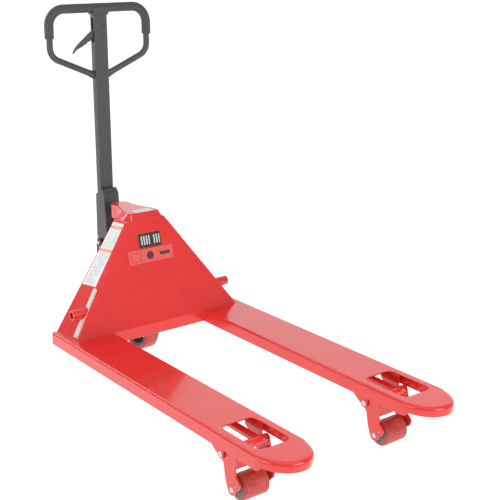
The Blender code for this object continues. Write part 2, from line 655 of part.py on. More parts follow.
def steer_wheel(word, side):
    """Spoked hub with a moulded tread, turning on the steer axle."""
    place = (STEER_AXLE_X, side * STEER_WHEEL_Y, STEER_AXLE_Z)
    rim, bore = 0.0755, 0.0106
    hub = [(rim, -0.0235), (rim, 0.0235), (0.066, 0.0235), (0.063, 0.006), (0.026, 0.006), (0.024, 0.0245),
           (bore, 0.0245), (bore, -0.0245), (0.024, -0.0245), (0.026, -0.006), (0.063, -0.006), (0.066, -0.0235)]
    made = turned("steer_hub_" + word, place, "Y", hub, STEER_AXLE, CAST_DARK, STEER_WHEEL_SIDES)
    for i in range(6):
        angle = math.pi / 3 * i
        x = STEER_AXLE_X + 0.0445 * math.cos(angle)
        z = STEER_AXLE_Z + 0.0445 * math.sin(angle)
        cut(made, bar_mesh((x, side * STEER_WHEEL_Y, z), "Y", 0.03, 0.0135, 16))
    outer, half, edge = STEER_WHEEL_RADIUS, 0.025, 0.005
    inner = rim + GAP
    tread = [(inner, half), (outer - edge, half), (outer, half - edge), (outer, edge - half),
             (outer - edge, -half), (inner, -half)]
    turned("steer_tread_" + word, place, "Y", tread, STEER_AXLE, POLYURETHANE, STEER_WHEEL_SIDES)


put("steer_axle", bar_mesh((STEER_AXLE_X, 0, STEER_AXLE_Z), "Y", 0.226, 0.010), PUMP, ZINC)
for word, way in SIDES.items():
    steer_wheel(word, way)


# ---------------------------------------------------------------- handle
def handle_base():
    """Folded bracket: cheeks on the pivot pin below, a socket for the shaft above."""
    outline = [(-0.189, 0.603), (-0.173, 0.586), (-0.163, 0.464), (-0.160, 0.418), (-0.184, 0.388),
               (-0.222, 0.388), (-0.234, 0.402), (-0.231, 0.578)]
    made = put("handle_base", outline_mesh([outline], 0.060, "Y"), HANDLE, GREY)
    rear, front = SHAFT_X
    wide = SHAFT_HALF_WIDTH + GAP
    cut(made, box_mesh((rear - GAP, -wide, 0.452), (front + GAP, wide, 0.65)))
    cut(made, box_mesh((-0.30, -0.0245, 0.35), (-0.170, 0.0245, 0.4515)))
    cut(made, bar_mesh((HANDLE_PIVOT[0], 0, HANDLE_PIVOT[1]), "Y", 0.1, 0.0073, 20))
    return cut(made, bar_mesh((HANDLE_ROLLER[0], 0, HANDLE_ROLLER[1]), "Y", 0.1, 0.0043, 16))


def handle_shaft():
    """Rectangular tube, slotted on one side for the control lever."""
    rear, front = SHAFT_X
    low, high, wall = 0.4535, 1.196, 0.003
    made = put("handle_shaft", box_mesh((rear, -SHAFT_HALF_WIDTH, low), (front, SHAFT_HALF_WIDTH, high)), HANDLE, GREY)
    soften(made, 0.0025, 2)
    cut(made, box_mesh((rear + wall, wall - SHAFT_HALF_WIDTH, low - 0.01),
                       (front - wall, SHAFT_HALF_WIDTH - wall, high - wall)))
    cut(made, box_mesh((LOOP_X - 0.0065, -0.05, 1.106), (LOOP_X + 0.0065, -0.01, 1.188)))
    return cut(made, bar_mesh((LOOP_X, *LEVER_PIN), "X", 0.1, 0.0033, 12))


def smooth_path(corners, radii, steps=6):
    """Open polyline with its inner corners rounded."""
    points = [corners[0]]
    for i in range(1, len(corners) - 1):
        here = Vector(corners[i])
        back = (Vector(corners[i - 1]) - here).normalized()
        ahead = (Vector(corners[i + 1]) - here).normalized()
        half = back.angle(ahead) / 2
        centre = here + (back + ahead).normalized() * radii[i - 1] / math.sin(half)
        start = here + back * radii[i - 1] / math.tan(half) - centre
        end = here + ahead * radii[i - 1] / math.tan(half) - centre
        swing = start.angle_signed(end)
        for k in range(steps + 1):
            points.append(tuple(centre + Matrix.Rotation(-swing * k / steps, 2) @ start))
    return points + [corners[-1]]


def tube_mesh(path, radius, resolution=3):
    """Round tube along a path of (Y, Z) points in the handle's plane."""
    curve = bpy.data.curves.new("tube", "CURVE")
    curve.dimensions = "3D"
    curve.bevel_depth = radius
    curve.bevel_resolution = resolution
    curve.use_fill_caps = True
    spline = curve.splines.new("POLY")
    spline.points.add(len(path) - 1)
    for point, (y, z) in zip(spline.points, path):
        point.co = (LOOP_X, y, z, 1)
    return curve_mesh(curve, Matrix.Identity(4))


LOOP_HALF = 0.1875
LOOP_TOP = HANDLE_TOP - GRIP_RADIUS
JOINT_Z = 0.996
ELBOW_Z = 1.065
GRIP_END = 1.125
BEND = 0.055
TUBE_RADIUS = 0.0105


def handle_loop(name, side):
    """Bare lower half of the loop: up from the shaft, round the elbow and into the grip."""
    lean = math.atan2(ELBOW_Z - JOINT_Z, LOOP_HALF - SHAFT_HALF_WIDTH)
    start = SHAFT_HALF_WIDTH + TUBE_RADIUS * math.sin(lean) + GAP
    corners = [(side * start, JOINT_Z), (side * LOOP_HALF, ELBOW_Z), (side * LOOP_HALF, GRIP_END - GAP)]
    return put(name, tube_mesh(smooth_path(corners, [0.045]), TUBE_RADIUS), HANDLE, GREY)


def grip():
    """Moulded sleeve over the loop's top bar and both upper bends."""
    corners = [(-LOOP_HALF, GRIP_END), (-LOOP_HALF, LOOP_TOP), (LOOP_HALF, LOOP_TOP), (LOOP_HALF, GRIP_END)]
    return put("grip_sleeve", tube_mesh(smooth_path(corners, [BEND, BEND]), GRIP_RADIUS), HANDLE, GRIP)


def head_plate():
    """Tab at the head of the shaft that the grip bar is fixed to."""
    outline = [(-0.031, 1.2045), (-0.031, 1.198), (-0.027, 1.1965), (0.027, 1.1965), (0.031, 1.198), (0.031, 1.2045)]
    return put("head_plate", outline_mesh([outline], 0.029, "X", (LOOP_X, 0, 0)), HANDLE, GREY)


def control_lever():
    """Finger lever out of the shaft's slot; its lower edge has finger notches."""
    y, z = LEVER_PIN
    top = [(-0.018, 1.1470), (-0.060, 1.1130), (-0.084, 1.0940), (-0.096, 1.0800), (-0.1010, 1.0710)]
    under = [(-0.0985, 1.0700), (-0.090, 1.0790), (-0.0800, 1.0860), (-0.0660, 1.0930), (-0.0620, 1.0985),
             (-0.0500, 1.1020), (-0.0460, 1.1080), (-0.0360, 1.1110), (-0.0200, 1.1190), (0.004, 1.1380)]
    outline = arc((y, z), 0.0065, -60, 120, 6) + top + under
    made = put("control_lever", outline_mesh([outline], 0.006, "X", (LOOP_X, 0, 0)), LEVER, CAST_DARK)
    return cut(made, bar_mesh((LOOP_X, y, z), "X", 0.1, 0.0033, 12))


handle_base()
handle_shaft()
for word, way in SIDES.items():
    handle_loop("handle_loop_" + word, way)
grip()
head_plate()
control_lever()
put("handle_pin", bar_mesh((HANDLE_PIVOT[0], 0, HANDLE_PIVOT[1]), "Y", 0.090, 0.007, 20), HANDLE, ZINC)
put("handle_roller_pin", bar_mesh((HANDLE_ROLLER[0], 0, HANDLE_ROLLER[1]), "Y", 0.060, 0.004, 16), HANDLE, ZINC)
turned("handle_roller", (HANDLE_ROLLER[0], 0, HANDLE_ROLLER[1]), "Y",
       [(0.010, -0.012), (0.010, 0.012), (0.0043, 0.012), (0.0043, -0.012)], HANDLE, ZINC, 16)
put("lever_pin", bar_mesh((LOOP_X, *LEVER_PIN), "X", 0.0288, 0.0030, 12), HANDLE, ZINC)
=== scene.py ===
import math

import bmesh
import bpy
from mathutils import Matrix, Vector


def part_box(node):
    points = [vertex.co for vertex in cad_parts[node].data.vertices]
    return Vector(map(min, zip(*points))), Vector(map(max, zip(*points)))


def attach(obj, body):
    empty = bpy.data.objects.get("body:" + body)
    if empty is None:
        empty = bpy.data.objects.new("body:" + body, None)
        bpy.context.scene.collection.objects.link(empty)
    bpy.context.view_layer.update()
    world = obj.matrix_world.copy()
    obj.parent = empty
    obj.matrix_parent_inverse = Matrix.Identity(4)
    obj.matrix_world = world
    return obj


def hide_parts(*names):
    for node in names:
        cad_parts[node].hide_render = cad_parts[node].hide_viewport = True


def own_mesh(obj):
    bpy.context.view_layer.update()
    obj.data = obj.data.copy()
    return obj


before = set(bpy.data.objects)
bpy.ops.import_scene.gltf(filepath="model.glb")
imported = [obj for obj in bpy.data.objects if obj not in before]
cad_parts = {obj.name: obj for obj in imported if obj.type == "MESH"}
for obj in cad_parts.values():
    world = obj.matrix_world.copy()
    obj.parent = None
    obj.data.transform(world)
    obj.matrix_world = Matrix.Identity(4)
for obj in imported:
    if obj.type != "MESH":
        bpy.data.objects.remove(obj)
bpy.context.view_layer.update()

scene = bpy.context.scene
WAYS = {"left": 1, "right": -1}

# ---------------------------------------------------------------- forks
# The two forks are channels pressed from 5 mm sheet with rolled edges and a round nose, sprayed
# red and stoved. The window over the load roller is punched and its rim is rolled over.
FORK_SHEET = 0.005
FORK_ROLL = 0.0075           # outer radius of the rolled edges
NOSE_ROLL = 0.0125           # the nose cap is pressed with a larger radius
NOSE_LENGTH = 0.102
NOSE_CREASE = 0.090          # where the nose cap meets the channel, from the tip
NOSE_STEP = 0.013            # the nose's skirt is this much shorter
WINDOW_FROM_TIP = (0.113, 0.282)
WINDOW_HALF_WIDTH = 0.053
LEVER_SLOT_FROM_REAR = (0.036, 0.119)
LEVER_SLOT_INWARD = 0.030
LEVER_SLOT_HALF_WIDTH = 0.007


def linear(colour):
    """sRGB hex to the linear values that a shader takes."""
    shares = [int(colour[i:i + 2], 16) / 255 for i in (0, 2, 4)]
    return tuple(s / 12.92 if s <= 0.04045 else ((s + 0.055) / 1.055) ** 2.4 for s in shares) + (1,)


def add(tree, kind, sockets=None, **settings):
    """One node: settings are its own options, and a socket takes a value or another node's output."""
    made = tree.nodes.new("ShaderNode" + kind)
    for name, value in settings.items():
        setattr(made, name, value)
    for name, value in (sockets or {}).items():
        if isinstance(value, bpy.types.NodeSocket):
            tree.links.new(value, made.inputs[name])
        else:
            made.inputs[name].default_value = value
    return made


def start_finish(name, **constants):
    """Material with its shader, the piece's own coordinates in metres, and the even values set."""
    look = bpy.data.materials.new(name)
    look.use_nodes = True
    tree = look.node_tree
    tree.nodes.clear()
    shader = add(tree, "BsdfPrincipled")
    add(tree, "OutputMaterial", {"Surface": shader.outputs["BSDF"]})
    for socket, value in constants.items():
        shader.inputs[socket.replace("_", " ")].default_value = value
    return look, tree, shader, add(tree, "TexCoord").outputs["Object"]


def stoved_enamel(name, body, shade, dust, roughness, peel, coat):
    """Sprayed and stoved enamel: a deep gloss, orange peel, and sheet that is slightly wavy under it.

    The peel is drawn 5 mm across, twice its real size, so that it shows.
    """
    look, tree, shader, place = start_finish(name, Coat_Weight=coat, Coat_Roughness=0.05)
    cloud = add(tree, "TexNoise", {"Vector": place, "Scale": 1 / 0.140, "Detail": 3.0})
    tone = add(tree, "MapRange", {"Value": cloud.outputs["Fac"], "From Min": 0.35, "From Max": 0.65})
    paint = add(tree, "Mix", {"Factor": tone.outputs["Result"], "A": linear(body), "B": linear(shade)},
                data_type="RGBA")
    film = add(tree, "TexNoise", {"Vector": place, "Scale": 1 / 0.022, "Detail": 6.0, "Roughness": 0.65})
    dusty = add(tree, "MapRange", {"Value": film.outputs["Fac"], "From Min": 0.45, "From Max": 0.85,
                                   "To Max": 0.03})
    faced = add(tree, "Mix", {"Factor": dusty.outputs["Result"], "A": paint.outputs["Result"],
                              "B": linear(dust)}, data_type="RGBA")
    tree.links.new(faced.outputs["Result"], shader.inputs["Base Color"])
    gloss = add(tree, "MapRange", {"Value": film.outputs["Fac"], "From Min": 0.30, "From Max": 0.75,
                                   "To Min": roughness - 0.02, "To Max": roughness + 0.04})
    tree.links.new(gloss.outputs["Result"], shader.inputs["Roughness"])
    wave = add(tree, "TexNoise", {"Vector": place, "Scale": 1 / 0.090, "Detail": 1.0})
    waved = add(tree, "Bump", {"Height": wave.outputs["Fac"], "Strength": 0.2, "Distance": 0.0015})
    orange_peel = add(tree, "TexNoise", {"Vector": place, "Scale": 1 / 0.005, "Detail": 2.0})
    bumped = add(tree, "Bump", {"Height": orange_peel.outputs["Fac"], "Strength": peel, "Distance": 0.0002,
                                "Normal": waved.outputs["Normal"]})
    tree.links.new(bumped.outputs["Normal"], shader.inputs["Normal"])
    return look


RED_ENAMEL = stoved_enamel("red_stoved_enamel", "E5302D", "E12C2A", "E98A86", 0.20, 0.10, 0.45)


def arc(centre, radius, start, end, steps):
    """Points on an arc, angles in degrees."""
    angles = [math.radians(start + (end - start) * i / steps) for i in range(steps + 1)]
    return [(centre[0] + radius * math.cos(a), centre[1] + radius * math.sin(a)) for a in angles]


def rounded(corners, radius, steps=6):
    """Closed outline with each corner turned into an arc; a list gives each corner its own radius."""
    radii = radius if isinstance(radius, (list, tuple)) else [radius] * len(corners)
    points = []
    for i, corner in enumerate(corners):
        here = Vector(corner)
        back = (Vector(corners[i - 1]) - here).normalized()
        ahead = (Vector(corners[(i + 1) % len(corners)]) - here).normalized()
        if radii[i] == 0 or back.angle(ahead) > math.pi - 1e-3:
            points.append(tuple(here))
            continue
        half = back.angle(ahead) / 2
        centre = here + (back + ahead).normalized() * radii[i] / math.sin(half)
        start = here + back * radii[i] / math.tan(half) - centre
        end = here + ahead * radii[i] / math.tan(half) - centre
        swing = start.angle_signed(end)
        for k in range(steps + 1):
            points.append(tuple(centre + Matrix.Rotation(-swing * k / steps, 2) @ start))
    return points


def to_mesh(shape):
    bmesh.ops.recalc_face_normals(shape, faces=shape.faces)
    mesh = bpy.data.meshes.new("mesh")
    shape.to_mesh(mesh)
    shape.free()
    return mesh


def carrier(data):
    """Throwaway object that modifiers work on."""
    made = bpy.data.objects.new("carrier", data)
    scene.collection.objects.link(made)
    return made


def final_mesh(made):
    """The carrier's mesh with its modifiers applied."""
    graph = bpy.context.evaluated_depsgraph_get()
    mesh = bpy.data.meshes.new_from_object(made.evaluated_get(graph))
    bpy.data.objects.remove(made, do_unlink=True)
    return mesh


def pressed_shell(stations, holes, thickness, top, open_end):
    """Sheet pressed down all round an outline.

    A station is (point, outward direction, roll radius, spread of the foot, height of the foot).
    Holes are loops in the flat top, each with a small rolled rim.
    """
    shape = bmesh.new()
    steps = 6
    columns = []
    for point, out, roll, spread, foot in stations:
        lean = math.atan2(spread, top - foot)
        column = []
        for k in range(steps + 1):
            turn = (math.pi / 2 - lean) * k / steps
            column.append((-roll * (1 - math.sin(turn)), top - roll * (1 - math.cos(turn))))
        column.append(((column[-1][0] + spread) / 2, (column[-1][1] + foot) / 2))
        column.append((spread, foot))
        columns.append([shape.verts.new((point[0] + out[0] * a, point[1] + out[1] * a, z))
                        for a, z in column])
    count = len(columns)
    for i in range(count - open_end):
        one, two = columns[i], columns[(i + 1) % count]
        for k in range(len(one) - 1):
            shape.faces.new((one[k], one[k + 1], two[k + 1], two[k]))
    rims = []
    for i in range(count):
        pair = (columns[i][0], columns[(i + 1) % count][0])
        rims.append(shape.edges.get(pair) or shape.edges.new(pair))
    rim_radius = 0.0018
    for loop in holes:
        size = len(loop)
        outward = []
        for j in range(size):
            run = Vector(loop[(j + 1) % size]) - Vector(loop[j - 1])
            outward.append(Vector((run.y, -run.x)).normalized())
        rings = []
        for k in range(4):
            turn = math.pi / 2 * k / 3
            grow, z = rim_radius * (1 - math.sin(turn)), top - rim_radius * (1 - math.cos(turn))
            rings.append([shape.verts.new((p[0] + n.x * grow, p[1] + n.y * grow, z))
                          for p, n in zip(loop, outward)])
        for one, two in zip(rings, rings[1:]):
            for j in range(size):
                after = (j + 1) % size
                shape.faces.new((one[j], one[after], two[after], two[j]))
        rims += [shape.edges.get((rings[0][j], rings[0][(j + 1) % size])) for j in range(size)]
    bmesh.ops.triangle_fill(shape, edges=rims, use_beauty=True, use_dissolve=False)
    bmesh.ops.recalc_face_normals(shape, faces=shape.faces)
    if max(shape.faces, key=lambda f: f.calc_area()).normal.z < 0:
        bmesh.ops.reverse_faces(shape, faces=shape.faces)
    mesh = bpy.data.meshes.new("shell")
    shape.to_mesh(mesh)
    shape.free()
    made = carrier(mesh)
    wall = made.modifiers.new("wall", "SOLIDIFY")
    wall.thickness = thickness
    wall.offset = -1
    wall.use_even_offset = True
    return final_mesh(made)


def show(name, mesh, body, look, stands_for=(), place=None, crease=32):
    """One visible piece, smooth between its sharp edges, riding on its body."""
    made = bpy.data.objects.new(name, mesh)
    scene.collection.objects.link(made)
    mesh.materials.clear()
    mesh.materials.append(look)
    mesh.shade_smooth()
    mesh.set_sharp_from_angle(angle=math.radians(crease))
    level = made.modifiers.new("level faces", "WEIGHTED_NORMAL")
    level.keep_sharp = True
    if place:
        made.matrix_world = place
    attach(made, body)
    if stands_for:
        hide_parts(*stands_for)
    return made


def fork_shell(word, way):
    low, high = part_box("fork_" + word)
    half = (high.y - low.y) / 2
    start = high.x - NOSE_LENGTH
    crease = high.x - NOSE_CREASE
    side = [((low.x + d, -half), (0, -1)) for d in (0, 0.2, 0.5, 0.8)]
    side += [((start + d, -half), (0, -1)) for d in (-0.05, -0.01, -0.002)]
    nose = []
    count = 48
    for i in range(count + 1):
        turn = math.pi * (i / count - 0.5)
        out = Vector((math.cos(turn) / NOSE_LENGTH, math.sin(turn) / half)).normalized()
        nose.append(((start + NOSE_LENGTH * math.cos(turn), half * math.sin(turn)), out))
    stations = []
    for point, out in side + nose + [((p[0], -p[1]), (0, 1)) for p, o in reversed(side)]:
        share = min(max((point[0] - crease) / 0.014, 0), 1)
        roll = FORK_ROLL + (NOSE_ROLL - FORK_ROLL) * min(share * 2, 1)
        stations.append((point, out, roll, -0.0012 * min(share * 3, 1), low.z + NOSE_STEP * share))
    near, far = high.x - WINDOW_FROM_TIP[1], high.x - WINDOW_FROM_TIP[0]
    wide = WINDOW_HALF_WIDTH
    window = rounded([(near, -wide), (far, -wide), (far, wide), (near, wide)], 0.020, 8)
    near, far = (low.x + d for d in LEVER_SLOT_FROM_REAR)
    lane, wide = -way * LEVER_SLOT_INWARD, LEVER_SLOT_HALF_WIDTH
    slot = rounded([(near, lane - wide), (far, lane - wide), (far, lane + wide), (near, lane + wide)],
                   0.004, 3)
    mesh = pressed_shell(stations, [window, slot], FORK_SHEET, high.z, True)
    mesh.transform(Matrix.Translation((0, (low.y + high.y) / 2, 0)))
    show("fork_shell_" + word, mesh, "chassis", RED_ENAMEL, ["fork_" + word])


for word, way in WAYS.items():
    fork_shell(word, way)

# ---------------------------------------------------------------- housing plates
# The front plate and the two side plates are cut from 6 mm steel, lean together to the head and
# are welded along their edges and down onto the forks. All of it is sprayed with the forks.
PLATE = 0.006
front_low, front_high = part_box("front_plate")
FOOT_X = front_high.x
HEAD_X = front_low.x + PLATE
FOOT_Z, HEAD_Z = front_low.z, front_high.z
HEAD_HALF_WIDTH = 0.072
HEAD_REAR_HALF_WIDTH = 0.0757
FOOT_HALF_WIDTH = front_high.y


def slab(corner, edge=0.001, steps=2):
    """Block whose eight corners come from corner(i, j, k), each 0 or 1, with eased edges."""
    shape = bmesh.new()
    bmesh.ops.create_cube(shape, size=1)
    for v in shape.verts:
        v.co = Vector(corner(*[int(c > 0) for c in v.co]))
    bmesh.ops.bevel(shape, geom=shape.edges[:], offset=edge, segments=steps, profile=0.5, affect="EDGES")
    return to_mesh(shape)


def block(low, high, edge=0.001, steps=2):
    return slab(lambda i, j, k: ((low[0], high[0])[i], (low[1], high[1])[j], (low[2], high[2])[k]), edge,
                steps)


def front_corner(i, j, k):
    wide = (FOOT_HALF_WIDTH, HEAD_HALF_WIDTH)[k]
    return (FOOT_X, HEAD_X)[k] - PLATE * (1 - i), wide * (2 * j - 1), (FOOT_Z, HEAD_Z)[k]


show("housing_front", slab(front_corner, 0.0012, 3), "chassis", RED_ENAMEL, ["front_plate"])


def side_outer(way, share, height):
    """Point on a side plate's outer face: share 0 at the rear edge to 1 at the front, height 0 to 1."""
    low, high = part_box("side_plate_" + ("left" if way > 0 else "right"))
    rear_foot = Vector((low.x + 0.020, way * 0.323, FOOT_Z))
    rear_head = Vector((low.x, way * HEAD_REAR_HALF_WIDTH, HEAD_Z))
    front_foot = Vector((FOOT_X - PLATE, way * FOOT_HALF_WIDTH, FOOT_Z))
    front_head = Vector((HEAD_X - PLATE, way * HEAD_HALF_WIDTH, HEAD_Z))
    rear = rear_foot.lerp(rear_head, height)
    return rear.lerp(front_foot.lerp(front_head, height), share)


def carved(mesh, *cutters):
    """The mesh with each cutter taken out of it."""
    made = carrier(mesh)
    tools = []
    for cutter in cutters:
        tools.append(carrier(cutter))
        step = made.modifiers.new("cut", "BOOLEAN")
        step.object = tools[-1]
    mesh = final_mesh(made)
    for tool in tools:
        bpy.data.objects.remove(tool, do_unlink=True)
    return mesh


ALONG = {"Z": Matrix.Identity(4),
         "Y": Matrix.Rotation(-math.pi / 2, 4, "X"),
         "X": Matrix.Rotation(math.pi / 2, 4, "Y")}


def lathe(profile, axis, centre, sides=48):
    """Skin of a turned piece; profile is (radius, distance along the axis) all the way round it."""
    shape = bmesh.new()
    rings = []
    for radius, along in profile:
        if radius == 0:
            rings.append([shape.verts.new((0, 0, along))] * sides)
            continue
        turns = [2 * math.pi * (k + 0.5) / sides for k in range(sides)]
        rings.append([shape.verts.new((radius * math.cos(t), radius * math.sin(t), along)) for t in turns])
    for one, two in zip(rings, rings[1:] + rings[:1]):
        for k in range(sides):
            after = (k + 1) % sides
            corners = list(dict.fromkeys((one[k], one[after], two[after], two[k])))
            if len(corners) > 2:
                shape.faces.new(corners)
    mesh = to_mesh(shape)
    mesh.transform(Matrix.Translation(centre) @ ALONG[axis])
    return mesh


def bar(centre, axis, length, radius, edge=0.0006, sides=32):
    """Round bar with chamfered ends."""
    end = length / 2
    profile = [(0, -end), (radius - edge, -end), (radius, edge - end), (radius, end - edge),
               (radius - edge, end), (0, end)]
    return lathe(profile, axis, centre, sides)


def centre_of(node):
    low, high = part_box(node)
    return (low + high) / 2


ROCKER = centre_of("rocker_shaft")


def side_panel(word, way):
    wall = Vector((0, way * PLATE, 0))

    def corner(i, j, k):
        point = side_outer(way, i, k)
        return point - (Vector() if (j == 1) == (way > 0) else wall)

    bore = bar((ROCKER.x, way * 0.3, ROCKER.z), "Y", 0.2, 0.0164)
    mesh = carved(slab(corner, 0.0010, 2), bore)
    show("housing_side_" + word, mesh, "chassis", RED_ENAMEL, ["side_plate_" + word])


for word, way in WAYS.items():
    side_panel(word, way)
apron_low, apron_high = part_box("front_apron")
show("housing_apron", block(apron_low, apron_high, 0.0012, 3), "chassis", RED_ENAMEL,
     ["front_apron"])

# ---------------------------------------------------------------- pivot bosses
# A length of thick tube is welded through each side plate and carries the rocker's shaft.


def turned_ring(low, high, inner, outer, edge=0.0008):
    """Profile of a sleeve with eased edges."""
    return rounded([(inner, low), (outer, low), (outer, high), (inner, high)], edge, 2)


for word, way in WAYS.items():
    low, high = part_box("pivot_boss_" + word)
    outer = (high.z - low.z) / 2 * 1.009
    profile = turned_ring(low.y, high.y, 0.0115, outer, 0.0012)
    mesh = lathe(profile, "Y", (ROCKER.x, 0, ROCKER.z), 48)
    show("pivot_sleeve_" + word, mesh, "chassis", RED_ENAMEL, ["pivot_boss_" + word])

# ---------------------------------------------------------------- head cap
# The cap is pressed from sheet: a flat top with rolled edges, sloped down to the plates at the
# front and sides, and drawn out behind into a hooded tongue that the ram lifts against.
CAP_WALL = 0.0045
cap_low, cap_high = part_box("top_cap")


def smooth_through(points, steps):
    """Curve through points, with its ends repeated."""
    ends = [points[0]] + list(points) + [points[-1]]
    curve = []
    for a, b, c, d in zip(ends, ends[1:], ends[2:], ends[3:]):
        for k in range(steps):
            t = k / steps
            curve.append(tuple(0.5 * (2 * q + (r - p) * t + (2 * p - 5 * q + 4 * r - s) * t * t
                                      + (3 * q - p - 3 * r + s) * t ** 3) for p, q, r, s in zip(a, b, c, d)))
    return curve + [tuple(points[-1])]


def head_cap():
    front = cap_high.x - 0.0075
    tip = cap_low.x
    seat = HEAD_Z + 0.0003
    corner = arc((front - 0.012, 0.048), 0.012, 0, 80, 8)
    flank = [corner[-1], (front - 0.030, 0.0585), (front - 0.050, 0.0535), (front - 0.068, 0.0470),
             (front - 0.086, 0.0405), (front - 0.106, 0.0360), (front - 0.130, 0.0338), (tip + 0.031, 0.0330)]
    bow = [(tip + 0.031 - 0.031 * math.sin(t), 0.0330 * math.cos(t))
           for t in (math.pi / 2 * k / 12 for k in range(1, 13))]
    half = [(front, 0.012), (front, 0.030)] + corner[:-1] + smooth_through(flank, 4) + bow
    outline = half + [(x, -y) for x, y in reversed(half[:-1])]
    size = len(outline)
    stations = []
    for i, point in enumerate(outline):
        run = Vector(outline[(i + 1) % size]) - Vector(outline[i - 1])
        out = Vector((run.y, -run.x)).normalized()
        behind = min(max((front - 0.056 - point[0]) / 0.018, 0), 1)
        behind = behind * behind * (3 - 2 * behind)
        ahead = min(max((point[0] - front + 0.012) / 0.012, 0), 1)
        reach = (cap_high.y - abs(point[1])) * (1 - ahead) + 0.0068 * ahead
        foot = seat + (cap_low.z - seat) * behind
        stations.append((point, out, 0.0045, max(reach, 0) * (1 - behind), foot))
    return pressed_shell(stations, [], CAP_WALL, cap_high.z, False)


show("head_cap", head_cap(), "chassis", RED_ENAMEL, ["top_cap"])

# ---------------------------------------------------------------- weld beads
# The plates are joined by MIG fillets about 5 mm across, sprayed over with the rest. The ripples
# are drawn 4 mm apart, twice as coarse as the real ones, so that they show.
BEAD = 0.0024
BEAD_RIPPLE = 0.004


def lofted(loops, closed=False):
    """Skin through closed loops of points that all have the same count, capped at both ends."""
    shape = bmesh.new()
    rings = [[shape.verts.new(p) for p in loop] for loop in loops]
    for one, two in zip(rings, rings[1:] + ([rings[0]] if closed else [])):
        for k in range(len(one)):
            after = (k + 1) % len(one)
            shape.faces.new((one[k], one[after], two[after], two[k]))
    if not closed:
        shape.faces.new(rings[0])
        shape.faces.new(rings[-1])
    return to_mesh(shape)


def swept(path, section, across, closed=False):
    """Skin along a path that lies in one plane; section(i) is point i's loop of (in plane, across)."""
    flat = Vector(across)
    loops = []
    for i, point in enumerate(path):
        after = path[(i + 1) % len(path)] if closed else path[min(i + 1, len(path) - 1)]
        before = path[i - 1] if closed else path[max(i - 1, 0)]
        side = (Vector(after) - Vector(before)).normalized().cross(flat).normalized()
        loops.append([Vector(point) + side * a + flat * b for a, b in section(i)])
    return lofted(loops, closed)


def oval(a, b, count=16):
    turns = [2 * math.pi * (k + 0.5) / count for k in range(count)]
    return [(a * math.cos(t), b * math.sin(t)) for t in turns]


def weld(name, start, end, body="chassis"):
    """Rippled bead from start to end, sunk by half into the corner it fills."""
    run = Vector(end) - Vector(start)
    count = max(int(run.length / BEAD_RIPPLE * 4), 4)
    across = run.cross(Vector((0.3, 0.2, 1.0))).normalized()
    path = [Vector(start) + run * i / count for i in range(count + 1)]

    def section(i):
        ending = min(1.0, (min(i, count - i) + 0.6) / 3)
        size = BEAD * ending * (1 + 0.10 * math.sin(i * math.pi / 2) + 0.06 * math.sin(i * 0.37))
        return oval(size, size, 10)

    show(name, swept(path, section, across), body, RED_ENAMEL)


fork_low, fork_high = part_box("fork_left")
inner_y = fork_low.y
top = fork_high.z - 0.0003
for word, way in WAYS.items():
    weld("weld_front_foot_" + word, (FOOT_X + 0.0004, way * (inner_y + 0.003), top),
         (FOOT_X + 0.0004, way * (FOOT_HALF_WIDTH - 0.003), top))
    weld("weld_apron_end_" + word, (apron_high.x, way * (inner_y - 0.0008), apron_low.z + 0.003),
         (apron_high.x, way * (inner_y - 0.0008), apron_high.z - 0.002))
    rear, front = side_outer(way, 0.04, 0), side_outer(way, 0.96, 0)
    weld("weld_side_foot_" + word, rear, front)
    low, high = side_outer(way, 1.0, 0.015), side_outer(way, 1.0, 0.985)
    weld("weld_side_front_" + word, low, high)
    boss_y = way * (abs(side_outer(way, 0.4, 0.21).y) + 0.0002)
    ring = [(ROCKER.x + 0.0168 * math.cos(t), boss_y - way * 0.004 * math.cos(t) - way * 0.012 * math.sin(t),
             ROCKER.z + 0.0168 * math.sin(t)) for t in (2 * math.pi * k / 48 for k in range(48))]

    def bead_ring(i):
        return oval(BEAD * (1 + 0.1 * math.sin(i * math.pi / 2)), BEAD * 0.9, 10)

    show("weld_boss_" + word, swept(ring, bead_ring, (0, 1, 0), True), "chassis", RED_ENAMEL)
weld("weld_apron_top", (apron_high.x, inner_y * -0.985, apron_high.z),
     (apron_high.x, inner_y * 0.985, apron_high.z))
weld("weld_cap_front", (HEAD_X + 0.0006, -0.070, HEAD_Z), (HEAD_X + 0.0006, 0.070, HEAD_Z))

# ---------------------------------------------------------------- stickers
# Printed vinyl: a ruled notice down the right side plate with a hatched strip under it, a black
# plate and a clear film on the front, and a pale one on the cap. None carries any lettering.
FILM = 0.0003


def plate(outlines, thickness, plane, centre, edge=0.0006, steps=2):
    """Flat plate cut to closed outlines, those after the first being holes, with its edges eased."""
    curve = bpy.data.curves.new("plate", "CURVE")
    curve.dimensions = "2D"
    curve.fill_mode = "BOTH"
    curve.extrude = thickness / 2 - edge
    curve.bevel_depth = edge
    curve.bevel_resolution = steps - 1
    curve.offset = -edge
    for points in outlines:
        spline = curve.splines.new("POLY")
        spline.points.add(len(points) - 1)
        for point, (u, v) in zip(spline.points, points):
            point.co = (u, v, 0, 1)
        spline.use_cyclic_u = True
    mesh = final_mesh(carrier(curve))
    shape = bmesh.new()
    shape.from_mesh(mesh)
    bmesh.ops.remove_doubles(shape, verts=shape.verts, dist=1e-6)
    mesh = to_mesh(shape)
    turned = {"Z": Matrix.Identity(4), "Y": Matrix.Rotation(math.pi / 2, 4, "X"),
              "X": Matrix.Rotation(math.pi / 2, 4, "Z") @ Matrix.Rotation(math.pi / 2, 4, "X")}
    mesh.transform(Matrix.Translation(centre) @ turned[plane])
    return mesh


